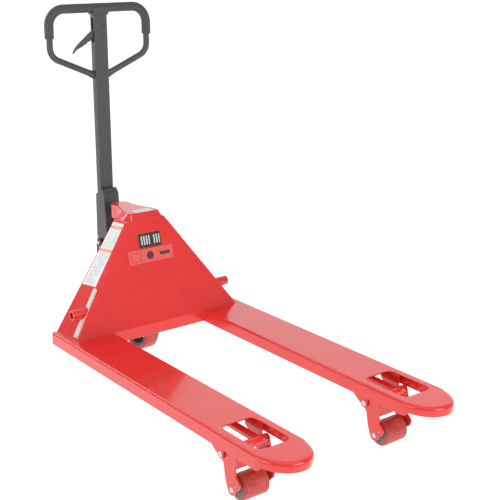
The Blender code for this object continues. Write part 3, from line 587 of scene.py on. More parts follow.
def sticker(name, corners, look):
    """Film over four corners of a flat panel, given anticlockwise from the lower left."""
    corners = [Vector(c) for c in corners]
    across = (corners[1] - corners[0]).normalized()
    out = across.cross(corners[3] - corners[0]).normalized()
    place = Matrix((across, out.cross(across), out)).transposed().to_4x4()
    place.translation = corners[0] + out * (FILM / 2 + 0.0001)
    flat = [(place.inverted() @ c).to_2d() for c in corners]
    mesh = plate([rounded([tuple(c) for c in flat], 0.0015, 3)], FILM, "Z", (0, 0, 0), 0.00005, 1)
    show(name, mesh, "chassis", look, place=place)


def vinyl(name, base):
    """Printed vinyl film, satin and a little dirty, with what its print is drawn with."""
    look, tree, shader, place = start_finish(name, Coat_Weight=0.3, Coat_Roughness=0.15)
    spot = add(tree, "SeparateXYZ", {"Vector": place}).outputs
    grime = add(tree, "TexNoise", {"Vector": place, "Scale": 1 / 0.012, "Detail": 5.0})
    rough = add(tree, "MapRange", {"Value": grime.outputs["Fac"], "To Min": 0.30, "To Max": 0.50})
    tree.links.new(rough.outputs["Result"], shader.inputs["Roughness"])
    dirt = add(tree, "MapRange", {"Value": grime.outputs["Fac"], "From Min": 0.5, "From Max": 0.9,
                                  "To Max": 0.35})
    ground = add(tree, "Mix", {"Factor": dirt.outputs["Result"], "A": linear(base), "B": linear("B9B4AE")},
                 data_type="RGBA")

    def math_of(operation, *values):
        return add(tree, "Math", dict(enumerate(values)), operation=operation).outputs["Value"]

    def between(value, low, high):
        return math_of("MULTIPLY", math_of("GREATER_THAN", value, low), math_of("LESS_THAN", value, high))

    def printed(under, mask, ink):
        return add(tree, "Mix", {"Factor": mask, "A": under, "B": linear(ink)},
                   data_type="RGBA").outputs["Result"]

    return look, tree, shader, spot, ground.outputs["Result"], math_of, between, printed


def along_film(spot, corners, math_of):
    """Distance across a film from its leaning first edge."""
    across = (corners[1] - corners[0]).normalized()
    edge = corners[3] - corners[0]
    lean = edge.dot(across) / (edge - across * edge.dot(across)).length
    return math_of("SUBTRACT", spot["X"], math_of("MULTIPLY", spot["Y"], lean))


def ruled_notice(corners):
    """White notice with grey rules 5 mm apart, broken like text, and two orange heads."""
    length = (corners[3] - corners[0]).length
    look, tree, shader, spot, colour, math_of, between, printed = vinyl("printed_white_vinyl", "F1F2F3")
    x = along_film(spot, corners, math_of)
    row = math_of("DIVIDE", spot["Y"], 0.0052)
    line = math_of("LESS_THAN", math_of("FRACT", row), 0.45)
    shift = add(tree, "CombineXYZ", {"X": math_of("MULTIPLY", x, 210.0),
                                     "Y": math_of("MULTIPLY", math_of("FLOOR", row), 3.7)})
    words = add(tree, "TexNoise", {"Vector": shift.outputs["Vector"], "Scale": 1.0, "Detail": 0.0})
    broken = math_of("GREATER_THAN", words.outputs["Fac"], 0.44)
    inside = between(x, 0.006, 0.060)
    rules = math_of("MULTIPLY", math_of("MULTIPLY", line, broken), inside)
    colour = printed(colour, math_of("MULTIPLY", rules, 0.75), "8E9398")
    for low, high in ((0.535, 0.575), (0.905, 0.940)):
        colour = printed(colour, between(spot["Y"], length * low, length * high), "F4A45C")
    tree.links.new(colour, shader.inputs["Base Color"])
    return look


def hatched_strip(corners):
    """White strip with fine grey cross rules, and an orange and white hatch down its front edge."""
    width = (corners[1] - corners[0]).length
    look, tree, shader, spot, colour, math_of, between, printed = vinyl("hatched_vinyl", "EFF0F1")
    x = along_film(spot, corners, math_of)
    slant = math_of("FRACT", math_of("DIVIDE", math_of("ADD", spot["Y"], spot["X"]), 0.009))
    colour = printed(colour, math_of("MULTIPLY", math_of("LESS_THAN", slant, 0.42), 0.55), "9AA3A8")
    edge = math_of("GREATER_THAN", x, width * 0.58)
    colour = printed(colour, math_of("MULTIPLY", edge, math_of("LESS_THAN", slant, 0.6)), "E8833F")
    tree.links.new(colour, shader.inputs["Base Color"])
    return look


def black_plate(wide, tall):
    """Black film with two groups of plain pale bars, 10 mm apart."""
    look, tree, shader, spot, colour, math_of, between, printed = vinyl("black_printed_vinyl", "1D1C1E")
    bars = math_of("LESS_THAN", math_of("FRACT", math_of("DIVIDE", spot["X"], 0.0098)), 0.50)
    inside = between(spot["Y"], tall * 0.20, tall * 0.82)
    groups = math_of("MAXIMUM", between(spot["X"], 0.0049, wide * 0.50),
                     between(spot["X"], wide * 0.62, wide * 0.95))
    colour = printed(colour, math_of("MULTIPLY", math_of("MULTIPLY", bars, inside), groups), "D9D6D4")
    tree.links.new(colour, shader.inputs["Base Color"])
    return look


def clear_film(wide, tall):
    """Clear film that lightens the red under it, printed with a dark disc, a bar and a fine frame."""
    look, tree, shader, spot, colour, math_of, between, printed = vinyl("clear_printed_vinyl", "EC5450")
    away = math_of("SQRT", math_of("ADD", math_of("POWER", math_of("SUBTRACT", spot["X"], wide * 0.48), 2.0),
                                   math_of("POWER", math_of("SUBTRACT", spot["Y"], tall * 0.5), 2.0)))
    colour = printed(colour, math_of("LESS_THAN", away, tall * 0.30), "4A2426")
    bar_mask = math_of("MULTIPLY", between(spot["X"], wide * 0.70, wide * 0.92),
                       between(spot["Y"], tall * 0.38, tall * 0.62))
    colour = printed(colour, bar_mask, "4A2426")
    outer = math_of("MULTIPLY", between(spot["X"], wide * 0.05, wide * 0.28),
                    between(spot["Y"], tall * 0.15, tall * 0.85))
    inner = math_of("MULTIPLY", between(spot["X"], wide * 0.065, wide * 0.265),
                    between(spot["Y"], tall * 0.19, tall * 0.81))
    colour = printed(colour, math_of("MULTIPLY", math_of("SUBTRACT", outer, inner), 0.6), "4A2426")
    tree.links.new(colour, shader.inputs["Base Color"])
    return look


def front_outer(y, height):
    """Point on the front plate's outer face, height 0 at the foot to 1 at the head."""
    return Vector((FOOT_X + (HEAD_X - FOOT_X) * height, y, FOOT_Z + (HEAD_Z - FOOT_Z) * height))


RIGHT = WAYS["right"]
notice = [side_outer(RIGHT, a, h) for a, h in ((0.06, 0.415), (0.80, 0.432), (0.92, 0.975), (0.05, 0.965))]
sticker("notice_film", notice, ruled_notice(notice))
strip = [side_outer(RIGHT, a, h) for a, h in ((0.755, 0.020), (0.965, 0.020), (0.945, 0.425), (0.73, 0.418))]
sticker("strip_film", strip, hatched_strip(strip))
plaque = [front_outer(y, h) for y, h in ((-0.040, 0.727), (0.047, 0.727), (0.047, 0.865), (-0.040, 0.865))]
sticker("plaque_film", plaque, black_plate(0.087, (plaque[3] - plaque[0]).length))
clear = [front_outer(y, h) for y, h in ((-0.087, 0.585), (0.088, 0.585), (0.088, 0.715), (-0.087, 0.715))]
sticker("clear_film", clear, clear_film(0.175, (clear[3] - clear[0]).length))
cap_top = cap_high.z
CAP_NOTICE = ((0.002, -0.030), (0.041, -0.030), (0.041, 0.040), (0.002, 0.040))
look, tree, shader, spot, colour, math_of, between, printed = vinyl("pale_vinyl", "DCDDE0")
lines = math_of("LESS_THAN", math_of("FRACT", math_of("DIVIDE", spot["X"], 0.008)), 0.35)
tree.links.new(printed(colour, math_of("MULTIPLY", lines, 0.35), "A9ADB2"), shader.inputs["Base Color"])
cap_front = cap_high.x - 0.0505
sticker("cap_film", [(cap_front + x, y, cap_top) for x, y in CAP_NOTICE], look)

# ---------------------------------------------------------------- load frame lugs and pins
# Ears cut from 5.5 mm plate are welded up inside each fork, and a turned, zinc plated pin with
# riveted ends goes through them. A spring pin beside it stops it from turning.


def zinc_plate(name, bright, dull, rough):
    """Zinc plated steel: pale, slightly cloudy metal, duller where it has begun to chalk."""
    look, tree, shader, place = start_finish(name, Metallic=1.0)
    cloud = add(tree, "TexNoise", {"Vector": place, "Scale": 1 / 0.006, "Detail": 5.0, "Roughness": 0.6})
    chalk = add(tree, "MapRange", {"Value": cloud.outputs["Fac"], "From Min": 0.40, "From Max": 0.70})
    colour = add(tree, "Mix", {"Factor": chalk.outputs["Result"], "A": linear(bright), "B": linear(dull)},
                 data_type="RGBA")
    tree.links.new(colour.outputs["Result"], shader.inputs["Base Color"])
    rough_range = add(tree, "MapRange", {"Value": cloud.outputs["Fac"], "To Min": rough - 0.08,
                                         "To Max": rough + 0.15})
    tree.links.new(rough_range.outputs["Result"], shader.inputs["Roughness"])
    turning = add(tree, "TexNoise", {"Vector": place, "Scale": 1 / 0.0012, "Detail": 1.0})
    bumped = add(tree, "Bump", {"Height": turning.outputs["Fac"], "Strength": 0.15, "Distance": 0.0002})
    tree.links.new(bumped.outputs["Normal"], shader.inputs["Normal"])
    return look


ZINC = zinc_plate("zinc_plated_steel", "D9DEDB", "A9B0AD", 0.30)


def riveted_pin(name, node, body):
    """Pin with a chamfer, a small dimple in each end and a fine turned groove."""
    low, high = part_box(node)
    middle = (low + high) / 2
    radius = (high.z - low.z) / 2 * 1.012
    end = (high.y - low.y) / 2
    half = [(0, end - 0.0012), (radius * 0.32, end - 0.0012), (radius * 0.42, end), (radius - 0.0012, end),
            (radius, end - 0.0011), (radius, end - 0.0030), (radius * 0.95, end - 0.0033),
            (radius * 0.95, end - 0.0040), (radius, end - 0.0043)]
    profile = half + [(r, -t) for r, t in reversed(half)]
    show(name, lathe(profile, "Y", middle, 40), body, ZINC, [node])


for word, way in WAYS.items():
    pin_low, pin_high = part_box("load_frame_pin_" + word)
    pin = (pin_low + pin_high) / 2
    pin_radius = (pin_high.z - pin_low.z) / 2
    for place in ("inner", "outer"):
        node = f"lug_{word}_{place}"
        low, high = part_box(node)
        outline = [(low.x, high.z), (low.x + 0.004, pin.z + 0.029), (low.x + 0.016, pin.z + 0.019)]
        outline += arc((pin.x, pin.z), pin.z - low.z, 205, 352, 12) + [(high.x, high.z)]
        hole = arc((pin.x, pin.z), pin_radius * 1.03, 6, 354, 31)
        mesh = plate([outline, hole], high.y - low.y, "Y", (0, (low.y + high.y) / 2, 0), 0.0008)
        show("pivot_ear_" + word + "_" + place, mesh, "chassis", RED_ENAMEL, [node])
        ear_face = high.y if (place == "outer") == (way > 0) else low.y
        outward = 1 if ear_face > pin.y else -1
        stop = (pin.x + pin_radius + 0.0045, ear_face + outward * 0.0005, pin.z - 0.0035)
        rivet = bar(stop, "Y", 0.0045, 0.0016, 0.0004, 16)
        show(f"spring_pin_{word}_{place}", rivet, "chassis", ZINC)
    riveted_pin("frame_pin_" + word, "load_frame_pin_" + word, "chassis")

# ---------------------------------------------------------------- load frames
# Each load frame is two boot-shaped 6 mm plates with a slotted web welded between them. It hangs
# on the ear pin, carries the roller below, and is pushed over by the rod above.
for word, way in WAYS.items():
    node, body = "load_frame_" + word, "load_frame_" + word
    low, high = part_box(node)
    hang = centre_of("load_frame_pin_" + word)
    joint = centre_of("rod_pin_" + word)
    axle = centre_of("roller_axle_" + word)
    hang_hole, joint_hole, axle_hole = (
        (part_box(n + word)[1].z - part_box(n + word)[0].z) / 2 * 1.03
        for n in ("load_frame_pin_", "rod_pin_", "roller_axle_"))
    boot = arc((hang.x, hang.z), 0.0150, 205, 115, 10) + arc((joint.x, joint.z), 0.0130, 110, 0, 12)
    toe = rounded([(joint.x, joint.z), (joint.x + 0.0185, joint.z - 0.017),
                   (joint.x + 0.0190, joint.z - 0.034),
                   (joint.x + 0.0128, joint.z - 0.052), (joint.x + 0.0160, joint.z - 0.073),
                   (joint.x + 0.0290, joint.z - 0.083), (joint.x + 0.0350, joint.z - 0.091),
                   (joint.x + 0.0300, joint.z - 0.107), (joint.x + 0.0200, joint.z - 0.115),
                   (axle.x, axle.z)],
                  [0, 0.006, 0.008, 0.010, 0.006, 0.003, 0.003, 0.004, 0.004, 0], 4)
    boot += toe[1:-1]
    boot += arc((axle.x - 0.002, axle.z - 0.002), 0.0150, -40, -160, 12)
    boot += [(axle.x - 0.0240, axle.z + 0.009), (axle.x - 0.0310, axle.z + 0.035),
             (axle.x - 0.0368, axle.z + 0.0652)]
    holes = [arc((hang.x, hang.z), hang_hole, 6, 354, 31), arc((joint.x, joint.z), joint_hole, 6, 354, 31),
             arc((axle.x, axle.z), axle_hole, 6, 354, 31)]
    shape = bmesh.new()
    for face in (-1, 1):
        edge_y = (high.y if face > 0 else low.y) - face * 0.00285
        shape.from_mesh(plate([boot] + holes, 0.0057, "Y", (0, edge_y, 0), 0.0009))
    lean = (Matrix.Translation((joint.x + 0.0095, joint.y, joint.z - 0.036))
            @ Matrix.Rotation(math.radians(-12.5), 4, "Y"))
    wide = (high.y - low.y) / 2 - 0.0055
    web_edge = rounded([(-wide, -0.0165), (wide, -0.0165), (wide, 0.0165), (-wide, 0.0165)], 0.0008, 2)
    web_slot = rounded([(-0.030, 0.0005), (0.030, 0.0005), (0.030, 0.0105), (-0.030, 0.0105)], 0.0045, 5)
    web = plate([web_edge, web_slot], 0.0068, "X", (0, 0, 0), 0.0008)
    web.transform(lean)
    shape.from_mesh(web)
    show("boot_frame_" + word, to_mesh(shape), body, RED_ENAMEL, [node])
    riveted_pin("rod_rivet_" + word, "rod_pin_" + word, body)
    riveted_pin("roller_rivet_" + word, "roller_axle_" + word, body)
    for face in (-1, 1):
        edge_y = high.y if face > 0 else low.y
        for k, (dx, dz) in enumerate(((0.0200, 0.018), (0.0150, -0.004))):
            dimple = bar((axle.x + dx, edge_y, axle.z + dz), "Y", 0.0016, 0.0020, 0.0005, 14)
            show(f"frame_rivet_{word}_{'outer' if face * way > 0 else 'inner'}_{k}", dimple, body,
                 ZINC)

# ---------------------------------------------------------------- load rollers
# Cast nylon cores with ball bearings pressed into their ends, and a polyurethane tread cast on.
# The tread has picked up patchy dust from the floor.


def polyurethane(name, body, dust):
    """Cast polyurethane: satin, slightly soft looking, dusty where it rolls."""
    look, tree, shader, place = start_finish(name, Coat_Weight=0.15, Coat_Roughness=0.3)
    stretch = add(tree, "Mapping", {"Vector": place, "Scale": (1.0, 0.35, 1.0)})
    smear = add(tree, "TexNoise", {"Vector": stretch.outputs["Vector"], "Scale": 1 / 0.010, "Detail": 6.0,
                                   "Roughness": 0.7})
    dusty = add(tree, "MapRange", {"Value": smear.outputs["Fac"], "From Min": 0.46, "From Max": 0.72,
                                   "To Max": 0.55})
    colour = add(tree, "Mix", {"Factor": dusty.outputs["Result"], "A": linear(body), "B": linear(dust)},
                 data_type="RGBA")
    tree.links.new(colour.outputs["Result"], shader.inputs["Base Color"])
    rough = add(tree, "MapRange", {"Value": smear.outputs["Fac"], "From Min": 0.3, "From Max": 0.7,
                                   "To Min": 0.34, "To Max": 0.62})
    tree.links.new(rough.outputs["Result"], shader.inputs["Roughness"])
    grain = add(tree, "TexNoise", {"Vector": place, "Scale": 1 / 0.0025, "Detail": 4.0})
    bumped = add(tree, "Bump", {"Height": grain.outputs["Fac"], "Strength": 0.25, "Distance": 0.0003})
    tree.links.new(bumped.outputs["Normal"], shader.inputs["Normal"])
    return look


TREAD = polyurethane("cast_red_polyurethane", "C23B31", "C98579")


def cast_metal(name, body, worn, rough, grit):
    """Castings and mouldings left as they came: matt, mottled and slightly gritty."""
    look, tree, shader, place = start_finish(name)
    mottle = add(tree, "TexNoise", {"Vector": place, "Scale": 1 / 0.012, "Detail": 5.0, "Roughness": 0.6})
    tone = add(tree, "MapRange", {"Value": mottle.outputs["Fac"], "From Min": 0.35, "From Max": 0.70})
    colour = add(tree, "Mix", {"Factor": tone.outputs["Result"], "A": linear(body), "B": linear(worn)},
                 data_type="RGBA")
    tree.links.new(colour.outputs["Result"], shader.inputs["Base Color"])
    rough_range = add(tree, "MapRange",
                      {"Value": mottle.outputs["Fac"], "To Min": rough - 0.1, "To Max": rough + 0.12})
    tree.links.new(rough_range.outputs["Result"], shader.inputs["Roughness"])
    sand = add(tree, "TexNoise", {"Vector": place, "Scale": 1 / grit, "Detail": 3.0})
    bumped = add(tree, "Bump", {"Height": sand.outputs["Fac"], "Strength": 0.35, "Distance": 0.0004})
    tree.links.new(bumped.outputs["Normal"], shader.inputs["Normal"])
    return look


NYLON = cast_metal("moulded_grey_nylon", "7B7671", "8F8A84", 0.50, 0.002)
for word, way in WAYS.items():
    body = "load_roller_" + word
    axle = centre_of("roller_axle_" + word)
    low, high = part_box("roller_tread_" + word)
    outer, half = (high.z - low.z) / 2 + 0.00018, (high.y - low.y) / 2
    core_low, core_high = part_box("roller_core_" + word)
    reach = (core_high.y - core_low.y) / 2
    rim, rest = 0.0300, 0.0425
    quarter = [(rim, rest), (0.0245, rest), (0.0238, rest - 0.0015), (0.0228, rest - 0.0025),
               (0.0215, rest - 0.0025), (0.0210, rest - 0.0012), (0.0160, rest - 0.0012),
               (0.0155, rest - 0.0025),
               (0.0136, rest - 0.0025), (0.0130, rest - 0.001), (0.0126, reach - 0.0006), (0.0118, reach),
               (0.0091, reach)]
    profile = quarter + [(r, -t) for r, t in reversed(quarter)]
    show("roller_hub_" + word, lathe(profile, "Y", axle, 64), body, NYLON,
         ["roller_core_" + word])
    tread = rounded([(rim + 0.0002, -half), (outer, -half), (outer, half), (rim + 0.0002, half)],
                    [0.0005, 0.0048, 0.0048, 0.0005], 6)
    show("roller_tyre_" + word, lathe(tread, "Y", axle, 96), body, TREAD,
         ["roller_tread_" + word])

# ---------------------------------------------------------------- push rods
# Two flat bars under each fork, welded to a cross tube at the load frame and to a clevis behind.
# The tube has a collar near its outer end and two grease nipples, one of brass and one zinc plated.
BRASS = zinc_plate("turned_brass", "C9B77A", "9C9465", 0.32)
for word, way in WAYS.items():
    node, body = "push_rod_" + word, "push_rod_" + word
    low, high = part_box(node)
    joint = centre_of("rod_pin_" + word)
    pin_low, pin_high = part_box("lever_end_pin_" + word)
    pull = (pin_low + pin_high) / 2
    slope = (pull.z - joint.z) / (pull.x - joint.x)
    tube_radius, tube_half = 0.0125, 0.0533
    level = [(0.0077, -tube_half), (tube_radius, -tube_half), (tube_radius, tube_half), (0.0077, tube_half)]
    shape = bmesh.new()
    shape.from_mesh(lathe(rounded(level, 0.0007, 2), "Y", joint, 40))
    collar = [(0.0120, 0.0300), (tube_radius + 0.0010, 0.0300), (tube_radius + 0.0010, 0.0505),
              (0.0120, 0.0505)]
    shape.from_mesh(lathe(rounded(collar, 0.0005, 2), "Y", joint, 40))
    clevis_front = pull.x + 0.042
    for face in (-1, 1):
        y = joint.y + face * 0.031
        bar_top = [(clevis_front, joint.z + slope * (clevis_front - joint.x)), (joint.x - 0.009, joint.z)]
        outline = [(bar_top[0][0], bar_top[0][1] - 0.006), (bar_top[1][0], bar_top[1][1] - 0.006),
                   (bar_top[1][0], bar_top[1][1] + 0.006), (bar_top[0][0], bar_top[0][1] + 0.006)]
        shape.from_mesh(plate([outline], 0.024, "Y", (0, y, 0), 0.0012, 2))
    tie_low, tie_high = clevis_front - 0.004, clevis_front + 0.024
    tie = [(x, joint.z + slope * (x - joint.x) + side)
           for x, side in ((tie_low, -0.010), (tie_high, -0.010), (tie_high, 0.010), (tie_low, 0.010))]
    shape.from_mesh(plate([tie], 0.090, "Y", (0, joint.y, 0), 0.0010, 2))
    back, base, crown = pull.x - 0.0165, pull.z - 0.0285, pull.z + 0.0130
    eye = rounded([(back, base), (clevis_front, base), (clevis_front, crown), (back, crown)],
                  [0.008, 0.001, 0.001, 0.008], 6)
    hole = rounded([(pull.x - 0.0118, pull.z - 0.0236), (pull.x + 0.0082, pull.z - 0.0236),
                    (pull.x + 0.0082, pull.z + 0.0080), (pull.x - 0.0118, pull.z + 0.0080)], 0.006, 6)
    for face in (-1, 1):
        shape.from_mesh(plate([eye, hole], 0.008, "Y", (0, pull.y + face * 0.0105, 0), 0.0008))
    show("push_bars_" + word, to_mesh(shape), body, RED_ENAMEL, [node])
    for k, (y, look) in enumerate(((-0.008, BRASS), (0.0385, ZINC))):
        nipple = [(0, 0.0000), (0.0024, 0.0000), (0.0024, 0.0022), (0.0016, 0.0026), (0.0014, 0.0044),
                  (0.0018, 0.0052), (0.0012, 0.0064), (0, 0.0066)]
        mesh = lathe(nipple, "X", (0, 0, 0), 16)
        mesh.transform(Matrix.Translation((joint.x, joint.y + y, joint.z))
                       @ Matrix.Rotation(math.radians(-28), 4, "Y")
                       @ Matrix.Translation((tube_radius - 0.0004, 0, 0)))
        show(f"grease_nipple_{word}_{k}", mesh, body, look)

# ---------------------------------------------------------------- rocker
# The rocker turns on a through shaft in the bosses: a gooseneck yoke ends in a ring under the
# pump, and a lever on each side pulls its push rod. All of it is cut from plate and sprayed red.
lever_pin = centre_of("lever_end_pin_left")
LEVER_LENGTH = math.hypot(lever_pin.x - ROCKER.x, lever_pin.z - ROCKER.z)
LEVEL = Matrix.Translation(ROCKER) @ Matrix.Rotation(
    -math.atan2(lever_pin.x - ROCKER.x, ROCKER.z - lever_pin.z), 4, "Y")
RING_ARM = 0.2016
shape = bmesh.new()
ring = [arc((-RING_ARM, 0), 0.046, 2, 358, 59), arc((-RING_ARM, 0), 0.034, 2, 358, 59)]
shape.from_mesh(plate(ring, 0.016, "Z", (0, 0, 0), 0.0015))
neck = rounded([(-0.168, -0.0075), (-0.168, 0.0075), (-0.150, 0.0150), (-0.088, 0.0440), (-0.066, 0.0440),
                (0.0, 0.0160), (0.0, -0.0160), (-0.028, -0.0130), (-0.072, 0.0240), (-0.088, 0.0250),
                (-0.150, 0.0045)],
               [0.001, 0.001, 0.01, 0.012, 0.012, 0.001, 0.001, 0.012, 0.01, 0.01, 0.01], 4)
for face in (-1, 1):
    shape.from_mesh(plate([neck], 0.012, "Y", (0, face * 0.024, 0), 0.0012))
shape.from_mesh(lathe(turned_ring(-0.100, 0.100, 0.0103, 0.018), "Y", (0, 0, 0), 40))
yoke = to_mesh(shape)
yoke.transform(LEVEL)
show("yoke_arms", yoke, "rocker", RED_ENAMEL, ["rocker_yoke"])
riveted_pin("cross_shaft", "rocker_shaft", "rocker")
for word, way in WAYS.items():
    low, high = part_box("rocker_lever_" + word)
    pull = centre_of("lever_end_pin_" + word)
    lean = math.degrees(math.asin((0.0165 - 0.0125) / LEVER_LENGTH))
    outline = [*arc((0, 0), 0.0165, lean, 180 - lean, 16),
               *arc((0, -LEVER_LENGTH), 0.0125, 180 + lean, 360 - lean, 16)]
    holes = [arc((0, 0), 0.0103, 6, 354, 31), arc((0, -LEVER_LENGTH), 0.0073, 6, 354, 31)]
    mesh = plate([outline] + holes, high.y - low.y, "Y", (0, 0, 0), 0.0010)
    mesh.transform(Matrix.Translation((0, (low.y + high.y) / 2, 0)) @ LEVEL)
    show("pull_lever_" + word, mesh, "rocker", RED_ENAMEL, ["rocker_lever_" + word])
    riveted_pin("pull_pin_" + word, "lever_end_pin_" + word, "rocker")

# ---------------------------------------------------------------- pump and steering column
# The hydraulic pump is one casting under the head: a block with two ears for the handle, a turned
# cylinder with a wiper seal round the chromed ram, and a plunger with its return spring. It is
# sprayed red down to the thrust bearing; its handle ears and the column below are dark castings.
COLUMN = centre_of("ram")
CAST_IRON = cast_metal("dark_painted_casting", "3B3C40", "4A4A4D", 0.50, 0.0022)
SEAL = cast_metal("black_seal_rubber", "232324", "2F2F31", 0.62, 0.0015)
CHROME = zinc_plate("hard_chromed_steel", "DDDFE1", "C9CDD0", 0.14)


def at_column(name, node, body, look, profile, axis_x, sides=48):
    """Turned piece on an upright axis; profile is (radius, height) up the outside and down the bore."""
    show(name, lathe(profile, "Z", (axis_x, 0, 0), sides), body, look, [node])


base_low, base_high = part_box("pump_base")
cylinder_low, cylinder_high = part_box("pump_cylinder")
handle_pin = centre_of("handle_pin")
RAM_BORE = 0.0176
deck = cylinder_low.z - 0.0003
rear_half, front_half = 0.024, 0.041
block_outline = rounded(
    [(base_low.x, -rear_half), (handle_pin.x + 0.008, -front_half), (base_high.x, -front_half),
     (base_high.x, front_half), (handle_pin.x + 0.008, front_half), (base_low.x, rear_half)],
    [0.014, 0.02, 0.03, 0.03, 0.02, 0.014], 6)
ram_hole = arc((COLUMN.x, 0), RAM_BORE, 4, 356, 44)
plunger_hole = arc((centre_of("plunger").x, 0), 0.0088, 6, 354, 29)
shape = bmesh.new()
shape.from_mesh(plate([block_outline, ram_hole, plunger_hole], deck - base_low.z, "Z",
                      (0, 0, (deck + base_low.z) / 2), 0.0032, 4))
show("pump_casting", to_mesh(shape), "pump", RED_ENAMEL, ["pump_base"])
shape = bmesh.new()
ear = [(handle_pin.x - 0.024, deck - 0.02), (handle_pin.x + 0.028, deck - 0.02)]
ear += arc((handle_pin.x, handle_pin.z), 0.015, 0, 180, 16)
ear_hole = arc((handle_pin.x, handle_pin.z), 0.0073, 6, 354, 31)
for face in (-1, 1):
    shape.from_mesh(plate([ear, ear_hole], 0.009, "Y", (0, face * 0.0360, 0), 0.0014, 3))
show("handle_ears", to_mesh(shape), "pump", CAST_IRON)

outer = cylinder_high.y
barrel = [(RAM_BORE, deck + 0.0003), (outer, deck + 0.0003), (outer, deck + 0.010),
          (outer - 0.0006, deck + 0.0108),
          (outer - 0.0006, cylinder_high.z - 0.012), (outer, cylinder_high.z - 0.0112),
          (outer, cylinder_high.z - 0.003), (outer - 0.0008, cylinder_high.z - 0.0008),
          (outer - 0.003, cylinder_high.z), (RAM_BORE, cylinder_high.z)]
at_column("pump_barrel", "pump_cylinder", "pump", RED_ENAMEL, barrel, COLUMN.x, 64)
seal_low, seal_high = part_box("wiper_seal")
lip = [(RAM_BORE, seal_low.z), (0.026, seal_low.z), (0.0255, seal_low.z + 0.003),
       (0.0235, seal_high.z - 0.0018),
       (0.0222, seal_high.z - 0.0008), (0.0190, seal_high.z), (RAM_BORE, seal_high.z)]
at_column("ram_wiper", "wiper_seal", "pump", SEAL, lip, COLUMN.x)
ram_low, ram_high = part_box("ram")
crown = ram_high.z
rod = [(0, ram_low.z), (0.0150, ram_low.z), (0.0170, ram_low.z + 0.002), (0.0170, crown - 0.0255),
       (0.0190, crown - 0.0205),
       (0.0190, crown - 0.0115),
       *arc((0.0130, crown - 0.0115), 0.0060, 0, 50, 6), (0.0120, crown - 0.0010), (0, crown)]
at_column("ram_rod", "ram", "ram", CHROME, rod, COLUMN.x)

plunger = centre_of("plunger")
tube_low, tube_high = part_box("plunger_housing")
sleeve = [(0.0088, tube_low.z), (0.0165, tube_low.z), (0.0165, tube_high.z - 0.010),
          (0.0158, tube_high.z - 0.009),
          (0.0158, tube_high.z - 0.0022), (0.0145, tube_high.z), (0.0088, tube_high.z)]
at_column("plunger_sleeve", "plunger_housing", "pump", RED_ENAMEL, sleeve, plunger.x)
tap_low, tap_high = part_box("plunger")
tappet = [(0, tap_low.z), (0.0080, tap_low.z), (0.0080, tap_high.z - 0.008), (0.0131, tap_high.z - 0.008),
          (0.0135, tap_high.z - 0.0074), (0.0135, tap_high.z - 0.0014), (0.0121, tap_high.z), (0, tap_high.z)]
at_column("plunger_tappet", "plunger", "plunger", ZINC, tappet, plunger.x, 32)
spring_low, spring_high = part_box("plunger_spring")
WIRE = 0.0012
COILS = 7
coil = bpy.data.curves.new("coil", "CURVE")
coil.dimensions = "3D"
coil.bevel_depth = WIRE
coil.bevel_resolution = 3
coil.use_fill_caps = True
winding = coil.splines.new("POLY")
points = COILS * 24
winding.points.add(points)
for i, point in enumerate(winding.points):
    turn = 2 * math.pi * i / 24
    rise = spring_low.z + WIRE + (spring_high.z - spring_low.z - 2 * WIRE) * i / points
    point.co = (plunger.x + 0.0108 * math.cos(turn), 0.0108 * math.sin(turn), rise, 1)
spring = show("return_spring", final_mesh(carrier(coil)), "pump", ZINC, ["plunger_spring"])
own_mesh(spring)

steer_axle = centre_of("steer_axle")
house_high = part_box("axle_housing")[1]
column = [(0, 0.066), (0.0255, 0.066), (0.0285, 0.0680), (0.030, 0.072), (0.030, 0.174), (0.0288, 0.1776),
          (0.0262, 0.1800),
          (0.0222, 0.1815), (0.022, 0.184), (0.022, house_high.z), (RAM_BORE, house_high.z),
          (RAM_BORE, 0.190), (0, 0.190)]
shape = bmesh.new()
shape.from_mesh(lathe(column, "Z", (COLUMN.x, 0, 0), 48))
shape.from_mesh(lathe(turned_ring(-0.052, 0.052, 0.0104, 0.024, 0.002), "Y", steer_axle, 40))
show("steering_column", to_mesh(shape), "pump", CAST_IRON, ["axle_housing"])
race_low, race_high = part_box("thrust_bearing")
race = [(0.0225, race_low.z), (0.0372, race_low.z), (0.038, race_low.z + 0.0008),
        (0.038, race_low.z + 0.0028),
        (0.0368, race_low.z + 0.0034), (0.0368, race_high.z - 0.0034), (0.038, race_high.z - 0.0028),
        (0.038, race_high.z - 0.0008), (0.0372, race_high.z), (0.0225, race_high.z)]
at_column("thrust_races", "thrust_bearing", "pump", ZINC, race, COLUMN.x)
riveted_pin("steer_spindle", "steer_axle", "pump")

